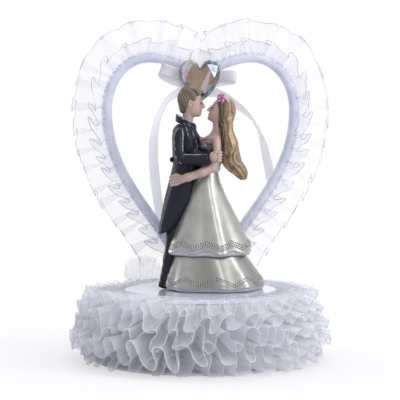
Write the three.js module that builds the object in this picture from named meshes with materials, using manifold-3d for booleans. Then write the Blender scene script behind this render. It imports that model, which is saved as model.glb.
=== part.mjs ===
// Wedding cake topper: a ruffled pedestal, a heart arch dressed in gathered organza, a satin bow with a
// faceted gem, and a cast resin couple. Millimetres, +Z up, the front looks towards -Y.
// The origin is the centre of the underside.
import * as THREE from "three";
import { mergeVertices } from "three/addons/utils/BufferGeometryUtils.js";
import Module from "manifold-3d";

const wasm = await Module();
wasm.setup();

// Fits
const seatGap = 0.3; // between pieces that rest on each other
const clothThickness = 0.8; // organza and ribbon, drawn thicker than the real cloth

// Pedestal
const baseHeight = 38.6;
const coreRadius = 50;
const topThickness = 2.4;
const cardThickness = 1.2;
const cardOverhang = 9; // of the card beyond the core

// Ruffles of the pedestal
const tierCount = 5;
const tierFlutes = 26;
const tierWave = 3; // height of a flute's crest over its middle
const tierDrop = 4.5; // from the sewn root down to the free edge
const topTierReach = 14.4; // beyond the pedestal's wall
const bottomTierReach = 21.5;
const topTierOverlap = 8; // of the top tier on the pedestal's top
const lowestEdge = 4.4;

// Heart arch, measured from the pedestal's top to the middle of the tube
const heartSetback = 25;
const tubeRadius = 3;
const wireRadius = 1.4;
const stemLength = 22;
const heartHalfWidth = 52.9;
const widestHeight = 98.5;
const lobeTopHeight = 128.2;
const lobeTopOffset = 29;
const cleftDrop = 11; // from the lobes' top to the cleft
const flankHeight = 40.8;
const flankOffset = 30;

// Ruffles of the heart
const heartFlutes = 14; // on each side
const frontWidth = 12;
const frontTilt = 50; // degrees towards the front
const cleftTilt = 8;
const backWidth = 18;
const backTilt = -16;
const heartWave = 2.4;
const rowSpacing = 2.4; // between the roots of the two rows
const ruffleStop = 24; // from the tip of the heart to the ruffle's end
const puffReach = 15;
const puffOffset = 33; // of the loose end from the middle

// Bow and gem
const ribbonWidth = 6.4;
const knotWidth = 8;
const knotDepth = 2.8;
const knotHeight = 5;
const leftLoopReach = 25;
const rightLoopReach = 20;
const gemWidth = 22.4;
const gemHeight = 21.8;
const gemDepth = 6.5;

// Couple, measured from the pedestal's top
const waistHeight = 65;
const bodiceLength = 17;
const brideNeckLength = 9;
const brideHeadRise = 7.6; // from the top of the neck to the middle of the head
const brideHeadRadius = 6.2;
const skirtHalfWidth = 27.5;
const skirtHalfDepth = 22;
const hemHeight = 20.5; // of the upper tier of the dress
const hemHalfWidth = 22.5;
const shoulderHeight = 86;
const groomHeadRise = 17.2; // from the shoulders to the middle of the head
const groomHeadRadius = 6.5;
const coatHem = 31;
const hipHeight = 56;
const armRadius = 2.3;
const sleeveRadius = 3.1;

// Helpers

const vec = (x, y, z) => new THREE.Vector3(x, y, z);
const axisX = vec(1, 0, 0);
const axisY = vec(0, 1, 0);
const axisZ = vec(0, 0, 1);

const smooth = (from, to, value) => THREE.MathUtils.smoothstep(value, from, to);

// A closed geometry from points and triangles. Triangles that face inwards are turned over.
function closedGeometry(positions, index) {
  let volume = 0;
  const corner = (i) => vec().fromArray(positions, 3 * i);
  for (let i = 0; i < index.length; i += 3) {
    const [a, b, c] = [corner(index[i]), corner(index[i + 1]), corner(index[i + 2])];
    volume += a.dot(b.cross(c));
  }
  const geometry = new THREE.BufferGeometry();
  geometry.setAttribute("position", new THREE.Float32BufferAttribute(positions, 3));
  geometry.setIndex(volume > 0 ? index : index.slice().reverse());
  return geometry;
}

function toSolid(geometry) {
  const bare = geometry.index ? geometry.toNonIndexed() : geometry.clone();
  for (const name of Object.keys(bare.attributes)) {
    if (name !== "position") bare.deleteAttribute(name);
  }
  const merged = mergeVertices(bare, 1e-4);
  return new wasm.Manifold(
    new wasm.Mesh({
      numProp: 3,
      vertProperties: merged.attributes.position.array,
      triVerts: merged.index.array,
    }),
  );
}

function toGeometry(solid) {
  const mesh = solid.getMesh();
  const geometry = new THREE.BufferGeometry();
  geometry.setAttribute("position", new THREE.BufferAttribute(mesh.vertProperties, 3));
  geometry.setIndex(new THREE.BufferAttribute(mesh.triVerts, 1));
  geometry.computeVertexNormals();
  return geometry;
}

const join = (...geometries) => geometries.map(toSolid).reduce((all, next) => all.add(next));

// The body that is left after the neighbours are cut away. Loose slivers of the cut are dropped.
function cut(solid, ...neighbours) {
  const left = neighbours.reduce((body, neighbour) => body.subtract(neighbour), solid);
  const bodies = left.decompose().sort((a, b) => b.volume() - a.volume());
  return bodies[0];
}

// A body through elliptical sections. Each section has its middle, two directions and two half-widths.
// A section can change its outline with shape(angle), a factor on the half-widths.
function loft(sections, sides, grow = 0) {
  const positions = [];
  const index = [];
  const last = sections.length - 1;
  const middles = sections.map(({ at }) => at.clone());
  if (grow) {
    middles[0].addScaledVector(vec().subVectors(sections[0].at, sections[1].at).normalize(), grow);
    middles[last].addScaledVector(vec().subVectors(sections[last].at, sections[last - 1].at).normalize(), grow);
  }
  sections.forEach(({ u, v, a, b, shape, lift }, i) => {
    for (let k = 0; k < sides; k++) {
      const angle = (k / sides) * 2 * Math.PI;
      const factor = shape ? shape(angle) : 1;
      const point = middles[i].clone();
      point.addScaledVector(u, (a * factor + grow) * Math.cos(angle));
      point.addScaledVector(v, (b * factor + grow) * Math.sin(angle));
      if (lift) point.z += lift(angle);
      positions.push(...point.toArray());
    }
  });
  for (let i = 0; i < last; i++) {
    for (let k = 0; k < sides; k++) {
      const next = (k + 1) % sides;
      const [p, q] = [i * sides, (i + 1) * sides];
      index.push(p + k, p + next, q + next, p + k, q + next, q + k);
    }
  }
  const first = positions.length / 3;
  positions.push(...middles[0].toArray(), ...middles[last].toArray());
  for (let k = 0; k < sides; k++) {
    const next = (k + 1) % sides;
    index.push(first, next, k, first + 1, last * sides + k, last * sides + next);
  }
  return closedGeometry(positions, index);
}

// A level section of an upright body: middle x, y, height, half-width along X and along Y.
const level = (x, y, z, a, b, extra = {}) => ({ at: vec(x, y, z), u: axisX, v: axisY, a, b, ...extra });

// A limb: a round body along a smooth path through [x, y, z, radius] stations, with rounded ends.
function limb(stations, sides, steps, grow = 0) {
  const path = new THREE.CatmullRomCurve3(stations.map(([x, y, z]) => vec(x, y, z)), false, "centripetal");
  const radii = new THREE.SplineCurve(stations.map(([, , , r], i) => new THREE.Vector2(i, r)));
  const sections = [];
  const add = (t, shift, factor) => {
    const along = path.getTangent(t);
    const u = vec().crossVectors(along, Math.abs(along.y) < 0.8 ? axisY : axisZ).normalize();
    const v = vec().crossVectors(along, u);
    const r = radii.getPoint(t).y;
    const at = path.getPoint(t).addScaledVector(along, shift * r);
    sections.push({ at, u, v, a: r * factor, b: r * factor });
  };
  add(0, -0.9, 0.4);
  add(0, -0.5, 0.85);
  for (let i = 0; i <= steps; i++) add(i / steps, 0, 1);
  add(1, 0.5, 0.85);
  add(1, 0.9, 0.4);
  return loft(sections, sides, grow);
}

function ellipsoid(x, y, z, a, b, c, grow = 0, tilt = 0, sides = 16) {
  const ball = new THREE.SphereGeometry(1, sides, Math.round(0.65 * sides)).rotateX(Math.PI / 2);
  return ball.scale(a + grow, b + grow, c + grow).rotateY(tilt).translate(x, y, z);
}

function box(x0, x1, y0, y1, z0, z1) {
  const brick = new THREE.BoxGeometry(x1 - x0, y1 - y0, z1 - z0);
  return brick.translate((x0 + x1) / 2, (y0 + y1) / 2, (z0 + z1) / 2);
}

function rod(x, y, z0, z1, radius, sides = 24) {
  const post = new THREE.CylinderGeometry(radius, radius, z1 - z0, sides).rotateX(Math.PI / 2);
  return post.translate(x, y, (z0 + z1) / 2);
}

// A sheet of cloth with thickness, from columns of points that run from its sewn root to its free edge.
// Each point has the direction in which the cloth is thick.
function cloth(columns, closed) {
  const rows = columns[0].length;
  const positions = [];
  for (const column of columns) {
    for (const { point, normal } of column) {
      for (const half of [0.5, -0.5]) {
        positions.push(...point.clone().addScaledVector(normal, half * clothThickness).toArray());
      }
    }
  }
  const vertex = (c, r, face) => ((c % columns.length) * rows + r) * 2 + face;
  const index = [];
  const quad = (a, b, c, d) => index.push(a, b, c, a, c, d);
  const spans = closed ? columns.length : columns.length - 1;
  const edge = rows - 1;
  for (let c = 0; c < spans; c++) {
    for (let r = 0; r < edge; r++) {
      quad(vertex(c, r, 0), vertex(c, r + 1, 0), vertex(c + 1, r + 1, 0), vertex(c + 1, r, 0));
      quad(vertex(c, r, 1), vertex(c + 1, r, 1), vertex(c + 1, r + 1, 1), vertex(c, r + 1, 1));
    }
    quad(vertex(c, 0, 0), vertex(c + 1, 0, 0), vertex(c + 1, 0, 1), vertex(c, 0, 1));
    quad(vertex(c, edge, 0), vertex(c, edge, 1), vertex(c + 1, edge, 1), vertex(c + 1, edge, 0));
  }
  if (!closed) {
    for (let r = 0; r < edge; r++) {
      quad(vertex(0, r, 0), vertex(0, r, 1), vertex(0, r + 1, 1), vertex(0, r + 1, 0));
      quad(vertex(spans, r, 0), vertex(spans, r + 1, 0), vertex(spans, r + 1, 1), vertex(spans, r, 1));
    }
  }
  return closedGeometry(positions, index);
}

// A flat ribbon along a path. Its width lies along widthAt(t) and its thickness square to both.
function ribbon(path, steps, widthAt) {
  const columns = [];
  for (let i = 0; i <= steps; i++) {
    const t = i / steps;
    const along = path.getTangentAt(t);
    const across = widthAt(t, along);
    const normal = vec().crossVectors(along, across).normalize();
    columns.push(
      [-0.5, 0.5].map((half) => {
        const point = path.getPointAt(t).addScaledVector(across, half * ribbonWidth);
        return { point, normal };
      }),
    );
  }
  return cloth(columns, false);
}

const group = new THREE.Group();
group.name = "wedding_cake_topper";

function place(name, shape, finish, parent = group) {
  const geometry = shape.isBufferGeometry ? shape : toGeometry(shape);
  if (!geometry.attributes.normal) geometry.computeVertexNormals();
  const mesh = new THREE.Mesh(geometry, new THREE.MeshStandardMaterial(finish));
  mesh.name = name;
  parent.add(mesh);
}

// Finishes
const organza = { color: 0xf3f1fa, roughness: 0.5 };
const satin = { color: 0xf0f1f8, roughness: 0.35 };
const plastic = { color: 0xf6f6f8, roughness: 0.2 };
const foam = { color: 0xf4f4f2, roughness: 0.8 };
const card = { color: 0xf2f1ee, roughness: 0.9 };
const steel = { color: 0xb8babd, roughness: 0.3, metalness: 1 };
const mirror = { color: 0xcfc6bf, roughness: 0.08, metalness: 1 };
const skin = { color: 0xe2bda9, roughness: 0.55 };
const brown = { color: 0x5b4638, roughness: 0.5 };
const golden = { color: 0x9a7750, roughness: 0.5 };
const black = { color: 0x22242b, roughness: 0.45 };
const pearl = { color: 0xd3d4d3, roughness: 0.3 };
const pink = { color: 0xd99ab8, roughness: 0.5 };

// Pedestal

const boreRadius = wireRadius + seatGap;
const bore = toSolid(rod(0, heartSetback, baseHeight - stemLength - 1, baseHeight + 1, boreRadius));
const drum = (z0, z1, radius) => toSolid(rod(0, 0, z0, z1, radius, 48));
const topFoot = baseHeight - topThickness;
place("base_card", drum(0, cardThickness, coreRadius + cardOverhang), card);
place("base_core", drum(cardThickness + seatGap, topFoot - seatGap, coreRadius).subtract(bore), foam);
place("base_top", drum(topFoot, baseHeight, coreRadius).subtract(bore), plastic);

// One gathered tier. The root is flat and the free edge rises and falls in flutes.
function tier(rootPoints, edgeRadius, edgeHeight, turn) {
  const columns = [];
  const count = tierFlutes * 4;
  for (let i = 0; i < count; i++) {
    const angle = (i / count) * 2 * Math.PI;
    const wave = Math.sin(angle * tierFlutes);
    const at = (radius, height) => vec(radius, 0, height).applyAxisAngle(axisZ, angle + turn);
    const column = rootPoints.map(([radius, height]) => ({ point: at(radius, height), normal: axisZ }));
    column.push({ point: at(edgeRadius, edgeHeight + tierWave * wave), normal: axisZ });
    columns.push(column);
  }
  return cloth(columns, true);
}

const topSheet = baseHeight + seatGap + clothThickness / 2;
const topEdge = topSheet - tierWave - seatGap;
for (let i = 0; i < tierCount; i++) {
  const down = i / (tierCount - 1);
  const edgeRadius = coreRadius + topTierReach + (bottomTierReach - topTierReach) * down;
  const edgeHeight = topEdge + (lowestEdge - topEdge) * down;
  const turn = (i % 2) * (Math.PI / tierFlutes);
  const root =
    i === 0
      ? [
          [coreRadius - topTierOverlap, topSheet],
          [coreRadius + seatGap, topSheet],
        ]
      : [[coreRadius + seatGap, edgeHeight + tierDrop]];
  place("base_ruffle_" + (i + 1), tier(root, edgeRadius, edgeHeight, turn), organza);
}

// Heart arch

const heart = new THREE.Group();
heart.position.set(0, heartSetback, baseHeight);
group.add(heart);

const tipHeight = tubeRadius + seatGap;
const cleftHeight = lobeTopHeight - cleftDrop;
const beyond = tubeRadius + 1; // how far a half runs over the middle before it is cut

// Half of the heart's outline, from the cleft over the lobe to the tip.
function halfHeart(side, overrun) {
  const at = (x, z) => vec(side * x, 0, z);
  const cleft = at(0, cleftHeight);
  const cleftLead = at(0.24 * lobeTopOffset, cleftHeight + 0.48 * (lobeTopHeight - cleftHeight));
  const tip = at(0, tipHeight);
  const bend = (...points) => new THREE.CubicBezierCurve3(...points);
  const path = new THREE.CurvePath();
  if (overrun) {
    const back = vec().subVectors(cleft, cleftLead).setLength(overrun);
    path.add(new THREE.LineCurve3(cleft.clone().add(back), cleft));
  }
  const lobe = at(lobeTopOffset, lobeTopHeight);
  const wide = at(heartHalfWidth, widestHeight);
  const flank = at(flankOffset, flankHeight);
  const slope = vec(flankOffset, 0, flankHeight - tipHeight);
  const flankLead = at(flankOffset + 0.45 * slope.x, flankHeight + 0.5 * slope.z);
  path.add(bend(cleft, cleftLead, at(0.62 * lobeTopOffset, lobeTopHeight), lobe));
  const roundness = 0.56;
  const lobeReach = lobeTopOffset + roundness * (heartHalfWidth - lobeTopOffset);
  const lobeDrop = widestHeight + roundness * (lobeTopHeight - widestHeight);
  path.add(bend(lobe, at(lobeReach, lobeTopHeight), at(heartHalfWidth, lobeDrop), wide));
  const wideDrop = widestHeight - 0.39 * (widestHeight - flankHeight);
  path.add(bend(wide, at(heartHalfWidth, wideDrop), flankLead, flank));
  const footLead = at(0.4 * flankOffset, tipHeight + 0.34 * slope.z);
  path.add(bend(flank, footLead, at(0.24 * flankOffset, tipHeight), tip));
  if (overrun) path.add(new THREE.LineCurve3(tip, at(-overrun, tipHeight)));
  return path;
}

function tube(path, steps, radius, sides, holeRadius = 0) {
  const section = new THREE.Shape().absarc(0, 0, radius, 0, 2 * Math.PI);
  if (holeRadius) section.holes.push(new THREE.Path().absarc(0, 0, holeRadius, 0, 2 * Math.PI));
  return new THREE.ExtrudeGeometry(section, {
    curveSegments: sides,
    steps,
    bevelEnabled: false,
    extrudePath: path,
  });
}

// All space on one side of the middle plane, from a given distance to it.
const farAway = 300;
const halfSpace = (side, from) =>
  toSolid(
    side > 0
      ? box(from, farAway, -farAway, farAway, -farAway, farAway)
      : box(-farAway, -from, -farAway, farAway, -farAway, farAway),
  );

// Half of a tube along the heart's outline. Wire and sleeve share their bends.
const tubeSteps = 28;
const halfTube = (side, from, radius, sides, holeRadius) =>
  toSolid(tube(halfHeart(side, beyond), tubeSteps, radius, sides, holeRadius)).intersect(halfSpace(side, from));

const stem = (grow) => rod(0, 0, -stemLength - grow, tipHeight, wireRadius + grow, 12);
const wires = [-1, 1].map((side) => halfTube(side, -0.1, wireRadius, 3));
place("heart_wire", wires[0].add(wires[1]).add(toSolid(stem(0))), steel, heart);

const sides = { left: -1, right: 1 };
const rootOffset = tubeRadius + seatGap;

// One gathered row along half of the heart. A positive tilt leans towards the front.
function heartRow(side, width, tilt, tiltAtCleft, rootY) {
  const path = halfHeart(side, 0);
  const length = path.getLength();
  const columns = [];
  const count = heartFlutes * 4;
  for (let i = 0; i <= count; i++) {
    const share = i / count;
    const t = (share * (length - ruffleStop)) / length;
    const along = path.getTangentAt(t);
    const out = vec(-side * along.z, 0, side * along.x);
    const fromCleft = smooth(0, 22, t * length);
    const lean = THREE.MathUtils.degToRad(tiltAtCleft + (tilt - tiltAtCleft) * fromCleft);
    const reach = out.clone().multiplyScalar(Math.cos(lean)).addScaledVector(axisY, -Math.sin(lean));
    const normal = out.clone().multiplyScalar(Math.sin(lean)).addScaledVector(axisY, Math.cos(lean));
    const wave = Math.sin(share * heartFlutes * 2 * Math.PI);
    const root = path.getPointAt(t).addScaledVector(out, rootOffset).addScaledVector(axisY, rootY);
    const edge = root.clone().addScaledVector(reach, width).addScaledVector(normal, heartWave * wave);
    columns.push([
      { point: root, normal },
      { point: edge, normal },
    ]);
  }
  return cloth(columns, false);
}

for (const [name, side] of Object.entries(sides)) {
  const here = halfSpace(side, seatGap / 2);
  const sleeve = halfTube(side, seatGap / 2, tubeRadius, 4, boreRadius);
  place("heart_wrap_" + name, sleeve.subtract(toSolid(stem(seatGap))), satin, heart);
  const front = heartRow(side, frontWidth, frontTilt, cleftTilt, -rowSpacing / 2);
  const back = heartRow(side, backWidth, backTilt, -cleftTilt, rowSpacing / 2);
  place("heart_ruffle_front_" + name, cut(toSolid(front).intersect(here)), organza, heart);
  place("heart_ruffle_back_" + name, cut(toSolid(back).intersect(here)), organza, heart);
}

// The loose end of organza stands like a fan behind the heart's left foot, on the top tier.
const puffFlutes = 6;
const puffRoot = 2.5;
const puffSpread = THREE.MathUtils.degToRad(25);
const puffFoot = topSheet + clothThickness / 2 + seatGap - baseHeight - puffRoot * Math.sin(puffSpread);
const puffMiddle = vec(-puffOffset, backWidth * Math.sin(THREE.MathUtils.degToRad(-backTilt)) + 5, puffFoot);
const puffColumns = [];
for (let i = 0; i <= puffFlutes * 4; i++) {
  const share = i / (puffFlutes * 4);
  const angle = puffSpread + share * (Math.PI - 2 * puffSpread);
  const out = vec(Math.cos(angle), 0, Math.sin(angle));
  const wave = Math.sin(share * puffFlutes * 2 * Math.PI);
  const root = puffMiddle.clone().addScaledVector(out, puffRoot);
  const edge = puffMiddle.clone().addScaledVector(out, puffReach).addScaledVector(axisY, 1.6 * wave);
  puffColumns.push([
    { point: root, normal: axisY },
    { point: edge, normal: axisY },
  ]);
}
place("foot_puff", cloth(puffColumns, false), organza, heart);

// Bow and gem, in front of the cleft

const bow = new THREE.Group();
bow.position.set(0, -tubeRadius - seatGap, cleftHeight - 1.6);
heart.add(bow);

place("bow_knot", box(-knotWidth / 2, knotWidth / 2, -knotDepth, 0, -knotHeight / 2, knotHeight / 2), satin, bow);

// A loop of ribbon beside the knot. The front strip lies higher than the back strip.
function bowLoop(side, reach) {
  const lean = vec(0.12 * side, 0, 1).normalize();
  const start = knotWidth / 2 + seatGap + 0.12 * ribbonWidth;
  const backStrip = -clothThickness / 2 - 0.1;
  const frontStrip = clothThickness - knotDepth;
  const points = [
    [start, frontStrip, 2.2],
    [0.5 * gemWidth + 0.4, frontStrip - 0.2, 3.4],
    [0.8 * reach, frontStrip - 1.8, 4.4],
    [0.95 * reach, frontStrip - 1.4, 4.6],
    [reach, frontStrip + 0.1, 4.2],
    [0.9 * reach, backStrip - 0.3, 2.4],
    [0.5 * reach, backStrip, -0.6],
    [start, backStrip, -2.6],
  ].map(([x, y, z]) => vec(side * x, y, z));
  const path = new THREE.CatmullRomCurve3(points, false, "centripetal");
  return ribbon(path, 18, () => lean);
}
place("bow_loop_left", bowLoop(-1, leftLoopReach), satin, bow);
place("bow_loop_right", bowLoop(1, rightLoopReach), satin, bow);

// The tails hang from under the knot through the heart and end behind the tube.
const tailRoutes = {
  left: [
    [-3.5, -1.8, -6.6],
    [-9, -1.9, -6.5],
    [-14.2, -1.8, -8],
    [-19, -0.9, -11.8],
    [-22.8, 0.4, -18.7],
    [-25.6, 2, -28.3],
    [-26.7, 4, -39.6],
    [-26.2, 6, -52.1],
    [-24.8, 7.3, -65.1],
    [-22.4, 7.9, -80.5],
  ],
  right: [
    [3.5, -1.8, -6.6],
    [9.5, -1.9, -6.5],
    [14.6, -1.8, -7.8],
    [20, -1, -12],
    [25.4, 0.4, -18.2],
    [29.9, 1.8, -25],
    [33.9, 3.6, -34],
    [37.3, 5.8, -45.3],
    [39.4, 7.2, -54],
    [41, 7.9, -61],
  ],
};
for (const [name, route] of Object.entries(tailRoutes)) {
  const path = new THREE.CatmullRomCurve3(route.map((p) => vec(...p)), false, "centripetal");
  const across = (t, along) => vec().crossVectors(along, axisY).normalize();
  place("ribbon_tail_" + name, ribbon(path, 20, across), satin, bow);
}

// The gem: a heart outline from flat back to girdle to the smaller front table.
function gemOutline(scale, y) {
  const ring = [];
  const count = 24;
  for (let i = 0; i < count; i++) {
    const t = (i / count) * 2 * Math.PI;
    const x = Math.sin(t) ** 3;
    const z = (13 * Math.cos(t) - 5 * Math.cos(2 * t) - 2 * Math.cos(3 * t) - Math.cos(4 * t)) / 29;
    ring.push(vec(x * (gemWidth / 2) * scale, y, (z + 0.09) * gemHeight * scale));
  }
  return ring;
}

function gem() {
  const back = -knotDepth - seatGap;
  const rings = [gemOutline(0.95, back), gemOutline(1, back - 0.3 * gemDepth), gemOutline(0.6, back - gemDepth)];
  const count = rings[0].length;
  const positions = rings.flat().flatMap((point) => point.toArray());
  const index = [];
  for (let i = 0; i < rings.length - 1; i++) {
    for (let k = 0; k < count; k++) {
      const next = (k + 1) % count;
      const [p, q] = [i * count, (i + 1) * count];
      index.push(p + k, p + next, q + next, p + k, q + next, q + k);
    }
  }
  const first = positions.length / 3;
  positions.push(0, back, 0, 0, back - gemDepth, 0);
  for (let k = 0; k < count; k++) {
    const next = (k + 1) % count;
    index.push(first, next, k, first + 1, 2 * count + k, 2 * count + next);
  }
  return closedGeometry(positions, index);
}
place("heart_gem", gem(), mirror, bow);

// Couple. Each piece is a function of its growth, so that a neighbour can be cut with a gap.

const couple = new THREE.Group();
couple.position.set(0, 0, baseHeight + seatGap);
group.add(couple);

const bustHeight = waistHeight + bodiceLength;
const brideNeckHeight = bustHeight + brideNeckLength;
const brideHeadHeight = brideNeckHeight + brideHeadRise;
const groomHeadHeight = shoulderHeight + groomHeadRise;
const brideX = 5.5;
const folds = (count, depth) => (angle) => 1 + depth * Math.sin(count * angle);

const skirtLower = (grow) =>
  loft(
    [
      level(brideX + 1.7, 0, 0, skirtHalfWidth, skirtHalfDepth, { shape: folds(9, 0.012) }),
      level(brideX + 1.6, 0, 2.6, skirtHalfWidth - 0.5, skirtHalfDepth - 0.4, { shape: folds(9, 0.03) }),
      level(brideX, 0, hemHeight, 0.8 * hemHalfWidth, 0.68 * hemHalfWidth, { shape: folds(9, 0.03) }),
      level(brideX, 0, hemHeight + 5, 0.66 * hemHalfWidth, 0.56 * hemHalfWidth),
    ],
    36,
    grow,
  );

const skirtUpper = (grow) =>
  loft(
    [
      level(brideX, 0, hemHeight, hemHalfWidth, 0.83 * hemHalfWidth, {
        shape: folds(8, 0.035),
        lift: (angle) => 1.3 * Math.sin(4 * angle + 1),
      }),
      level(brideX - 0.6, 0, hemHeight + 9, 0.86 * hemHalfWidth, 0.72 * hemHalfWidth, { shape: folds(8, 0.04) }),
      level(brideX - 1, 0, 0.45 * hemHeight + 0.55 * waistHeight, 0.6 * hemHalfWidth, 0.52 * hemHalfWidth, {
        shape: folds(8, 0.03),
      }),
      level(brideX - 0.7, 0, waistHeight - 7, 0.37 * hemHalfWidth, 0.36 * hemHalfWidth),
      level(brideX - 0.5, 0, waistHeight, 5.9, 6.4),
    ],
    36,
    grow,
  );

const bodice = (grow) =>
  loft(
    [
      level(brideX - 0.5, 0, waistHeight + seatGap, 5.9, 6.4),
      level(brideX + 0.2, 0, waistHeight + 7, 6.4, 7.2),
      level(brideX + 0.4, 0, bustHeight - 4, 7.3, 8.2),
      level(brideX + 1.2, 0, bustHeight, 6.2, 8),
    ],
    20,
    grow,
  );

const brideHead = (grow) =>
  join(
    loft(
      [
        level(brideX + 1.4, 0, bustHeight + seatGap, 5.9, 7.8),
        level(brideX + 2.4, 0, bustHeight + 2.6, 4.9, 9.4),
        level(brideX + 3, 0, bustHeight + 4.6, 3.6, 6.4),
        level(brideX + 3.6, 0, brideNeckHeight - 2.6, 2.6, 2.7),
        level(brideX + 4.6, 0, brideHeadHeight, 2.6, 2.7),
      ],
      18,
      grow,
    ),
    ellipsoid(brideX + 5, 0, brideHeadHeight, brideHeadRadius, 0.9 * brideHeadRadius, 1.28 * brideHeadRadius, grow, 0.3),
    ellipsoid(brideX + 5 - brideHeadRadius, 0, brideHeadHeight + 0.6, 1.3, 0.8, 1.5, grow, 0.5, 8),
  );

const hairTip = waistHeight - 4.5;
const brideHair = (grow) =>
  join(
    ellipsoid(brideX + 7, 0, brideHeadHeight + 1, brideHeadRadius + 1.2, brideHeadRadius + 1, 1.36 * brideHeadRadius, grow, 0, 14),
    limb(
      [
        [brideX + 8, 0, brideHeadHeight + 1, 6.2],
        [brideX + 9.6, 0, brideNeckHeight - 3, 6.6],
        [brideX + 11, 0, bustHeight - 4, 6.2],
        [brideX + 13.4, 0, bustHeight - 12, 5.6],
        [brideX + 16.6, 0, hairTip + 4, 4.2],
        [brideX + 19, 0, hairTip + 1.5, 1.6],
      ],
      10,
      8,
      grow,
    ),
  );

const armNear = (grow) =>
  limb(
    [
      [brideX + 2.8, -9.2, bustHeight + 2, armRadius + 0.4],
      [brideX + 3.4, -12.2, waistHeight + 11, armRadius + 0.2],
      [brideX + 2, -13.4, waistHeight + 3.4, armRadius + 0.1],
      [brideX - 6, -14, waistHeight - 0.4, armRadius],
      [brideX - 13.6, -13.4, waistHeight - 3.2, armRadius - 0.4],
      [brideX - 18.4, -12.6, waistHeight - 4.6, armRadius],
      [brideX - 21.4, -11.6, waistHeight - 5.6, 1.5],
    ],
    8,
    10,
    grow,
  );

const armFar = (grow) =>
  limb(
    [
      [brideX + 2.6, 9, bustHeight + 2, armRadius + 0.4],
      [brideX - 1, 11.6, bustHeight - 1.4, armRadius + 0.1],
      [brideX - 5.6, 12.4, bustHeight - 0.6, armRadius - 0.2],
      [brideX - 9.6, 12.6, bustHeight + 1.6, armRadius],
    ],
    8,
    5,
    grow,
  );

const flower = (grow) => {
  const petals = [];
  const count = 5;
  const middle = vec(brideX + 6, -brideHeadRadius - 0.6, brideHeadHeight + 5.4);
  for (let i = 0; i < count; i++) {
    const angle = (i / count) * 2 * Math.PI;
    petals.push(
      ellipsoid(middle.x + 1.5 * Math.cos(angle), middle.y, middle.z + 1.5 * Math.sin(angle), 1.4, 0.8, 1.4, grow, 0, 8),
    );
  }
  return join(...petals);
};

const groomX = -7.5;

const handNear = (grow) => ellipsoid(groomX + 16, -15.2, shoulderHeight - 12.4, 3.4, 2.3, 3.6, grow, 0.3, 12);
const handFar = (grow) => ellipsoid(groomX + 18.4, 11.6, shoulderHeight - 14.6, 3.6, 2.2, 3, grow, 0, 12);

const sleeveNear = (grow) =>
  limb(
    [
      [groomX - 0.8, -10.4, shoulderHeight - 1.6, sleeveRadius + 1.2],
      [groomX - 2.2, -12.8, shoulderHeight - 8, sleeveRadius + 1],
      [groomX - 1.8, -14.2, shoulderHeight - 14.6, sleeveRadius + 0.6],
      [groomX + 5, -15, shoulderHeight - 14.8, sleeveRadius + 0.2],
      [groomX + 11, -15.4, shoulderHeight - 14, sleeveRadius],
    ],
    10,
    8,
    grow,
  );

const sleeveFar = (grow) =>
  limb(
    [
      [groomX - 0.6, 10.6, shoulderHeight - 1.6, sleeveRadius + 1.2],
      [groomX - 1, 13.6, shoulderHeight - 8.4, sleeveRadius + 0.9],
      [groomX + 1.4, 14.6, shoulderHeight - 14.8, sleeveRadius + 0.5],
      [groomX + 7, 14.4, shoulderHeight - 15.4, sleeveRadius + 0.1],
      [groomX + 13, 13.2, shoulderHeight - 14.8, sleeveRadius],
    ],
    10,
    8,
    grow,
  );

const groomHead = (grow) =>
  join(
    loft(
      [
        level(groomX - 0.6, 0, shoulderHeight + 1, 3.4, 3.6),
        level(groomX + 0.6, 0, groomHeadHeight - 8, 3, 3.1),
        level(groomX + 2, 0, groomHeadHeight, 3, 3.1),
      ],
      16,
      grow,
    ),
    ellipsoid(groomX + 3.2, 0, groomHeadHeight, groomHeadRadius, 0.86 * groomHeadRadius, 1.25 * groomHeadRadius, grow, 0.12),
    ellipsoid(groomX + 3.4 + groomHeadRadius, 0, groomHeadHeight - 1.4, 1.4, 0.9, 1.6, grow, -0.4, 8),
    ...[-1, 1].map((side) =>
      ellipsoid(groomX + 1.8, side * 0.88 * groomHeadRadius, groomHeadHeight - 1.4, 1.3, 0.7, 1.9, grow, 0, 8),
    ),
  );

const groomHair = (grow) =>
  ellipsoid(groomX + 1.4, 0, groomHeadHeight + 2, groomHeadRadius + 0.8, groomHeadRadius - 0.1, 1.14 * groomHeadRadius, grow, 0.12, 14);

// The face side of the head, kept free of hair.
const groomFace = toSolid(box(groomX + 5.4, groomX + 40, -20, 20, 0, groomHeadHeight + 5));
const brideFace = toSolid(box(brideX - 30, brideX + 3.4, -20, 20, 0, brideHeadHeight + 6));

const coat = (grow) =>
  loft(
    [
      level(groomX - 11.2, 0, coatHem, 4.4, 8.6),
      level(groomX - 9.4, 0, coatHem + 5, 5.6, 9.4),
      level(groomX - 4, 0, 0.5 * (coatHem + waistHeight), 8.6, 10.2),
      level(groomX - 2, 0, waistHeight - 5, 7.8, 9.8),
      level(groomX - 1, 0, waistHeight + 3, 6.9, 9.4),
      level(groomX, 0, shoulderHeight - 8, 7.7, 10.8),
      level(groomX - 0.4, 0, shoulderHeight - 2.4, 6.6, 11.4),
      level(groomX - 0.4, 0, shoulderHeight + 0.6, 5, 8.4),
      level(groomX - 0.6, 0, shoulderHeight + 4.6, 4.4, 4.6),
    ],
    20,
    grow,
  );

const legX = groomX - 11.5;
const trousers = (grow) =>
  join(
    ...[-1, 1].map((side) =>
      limb(
        [
          [groomX - 2.6, side * 4, hipHeight, 5.2],
          [groomX - 7, side * 4.6, 0.5 * hipHeight, 4.4],
          [legX, side * 5, 7, 3.4],
        ],
        10,
        4,
        grow,
      ),
    ),
  );

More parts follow.
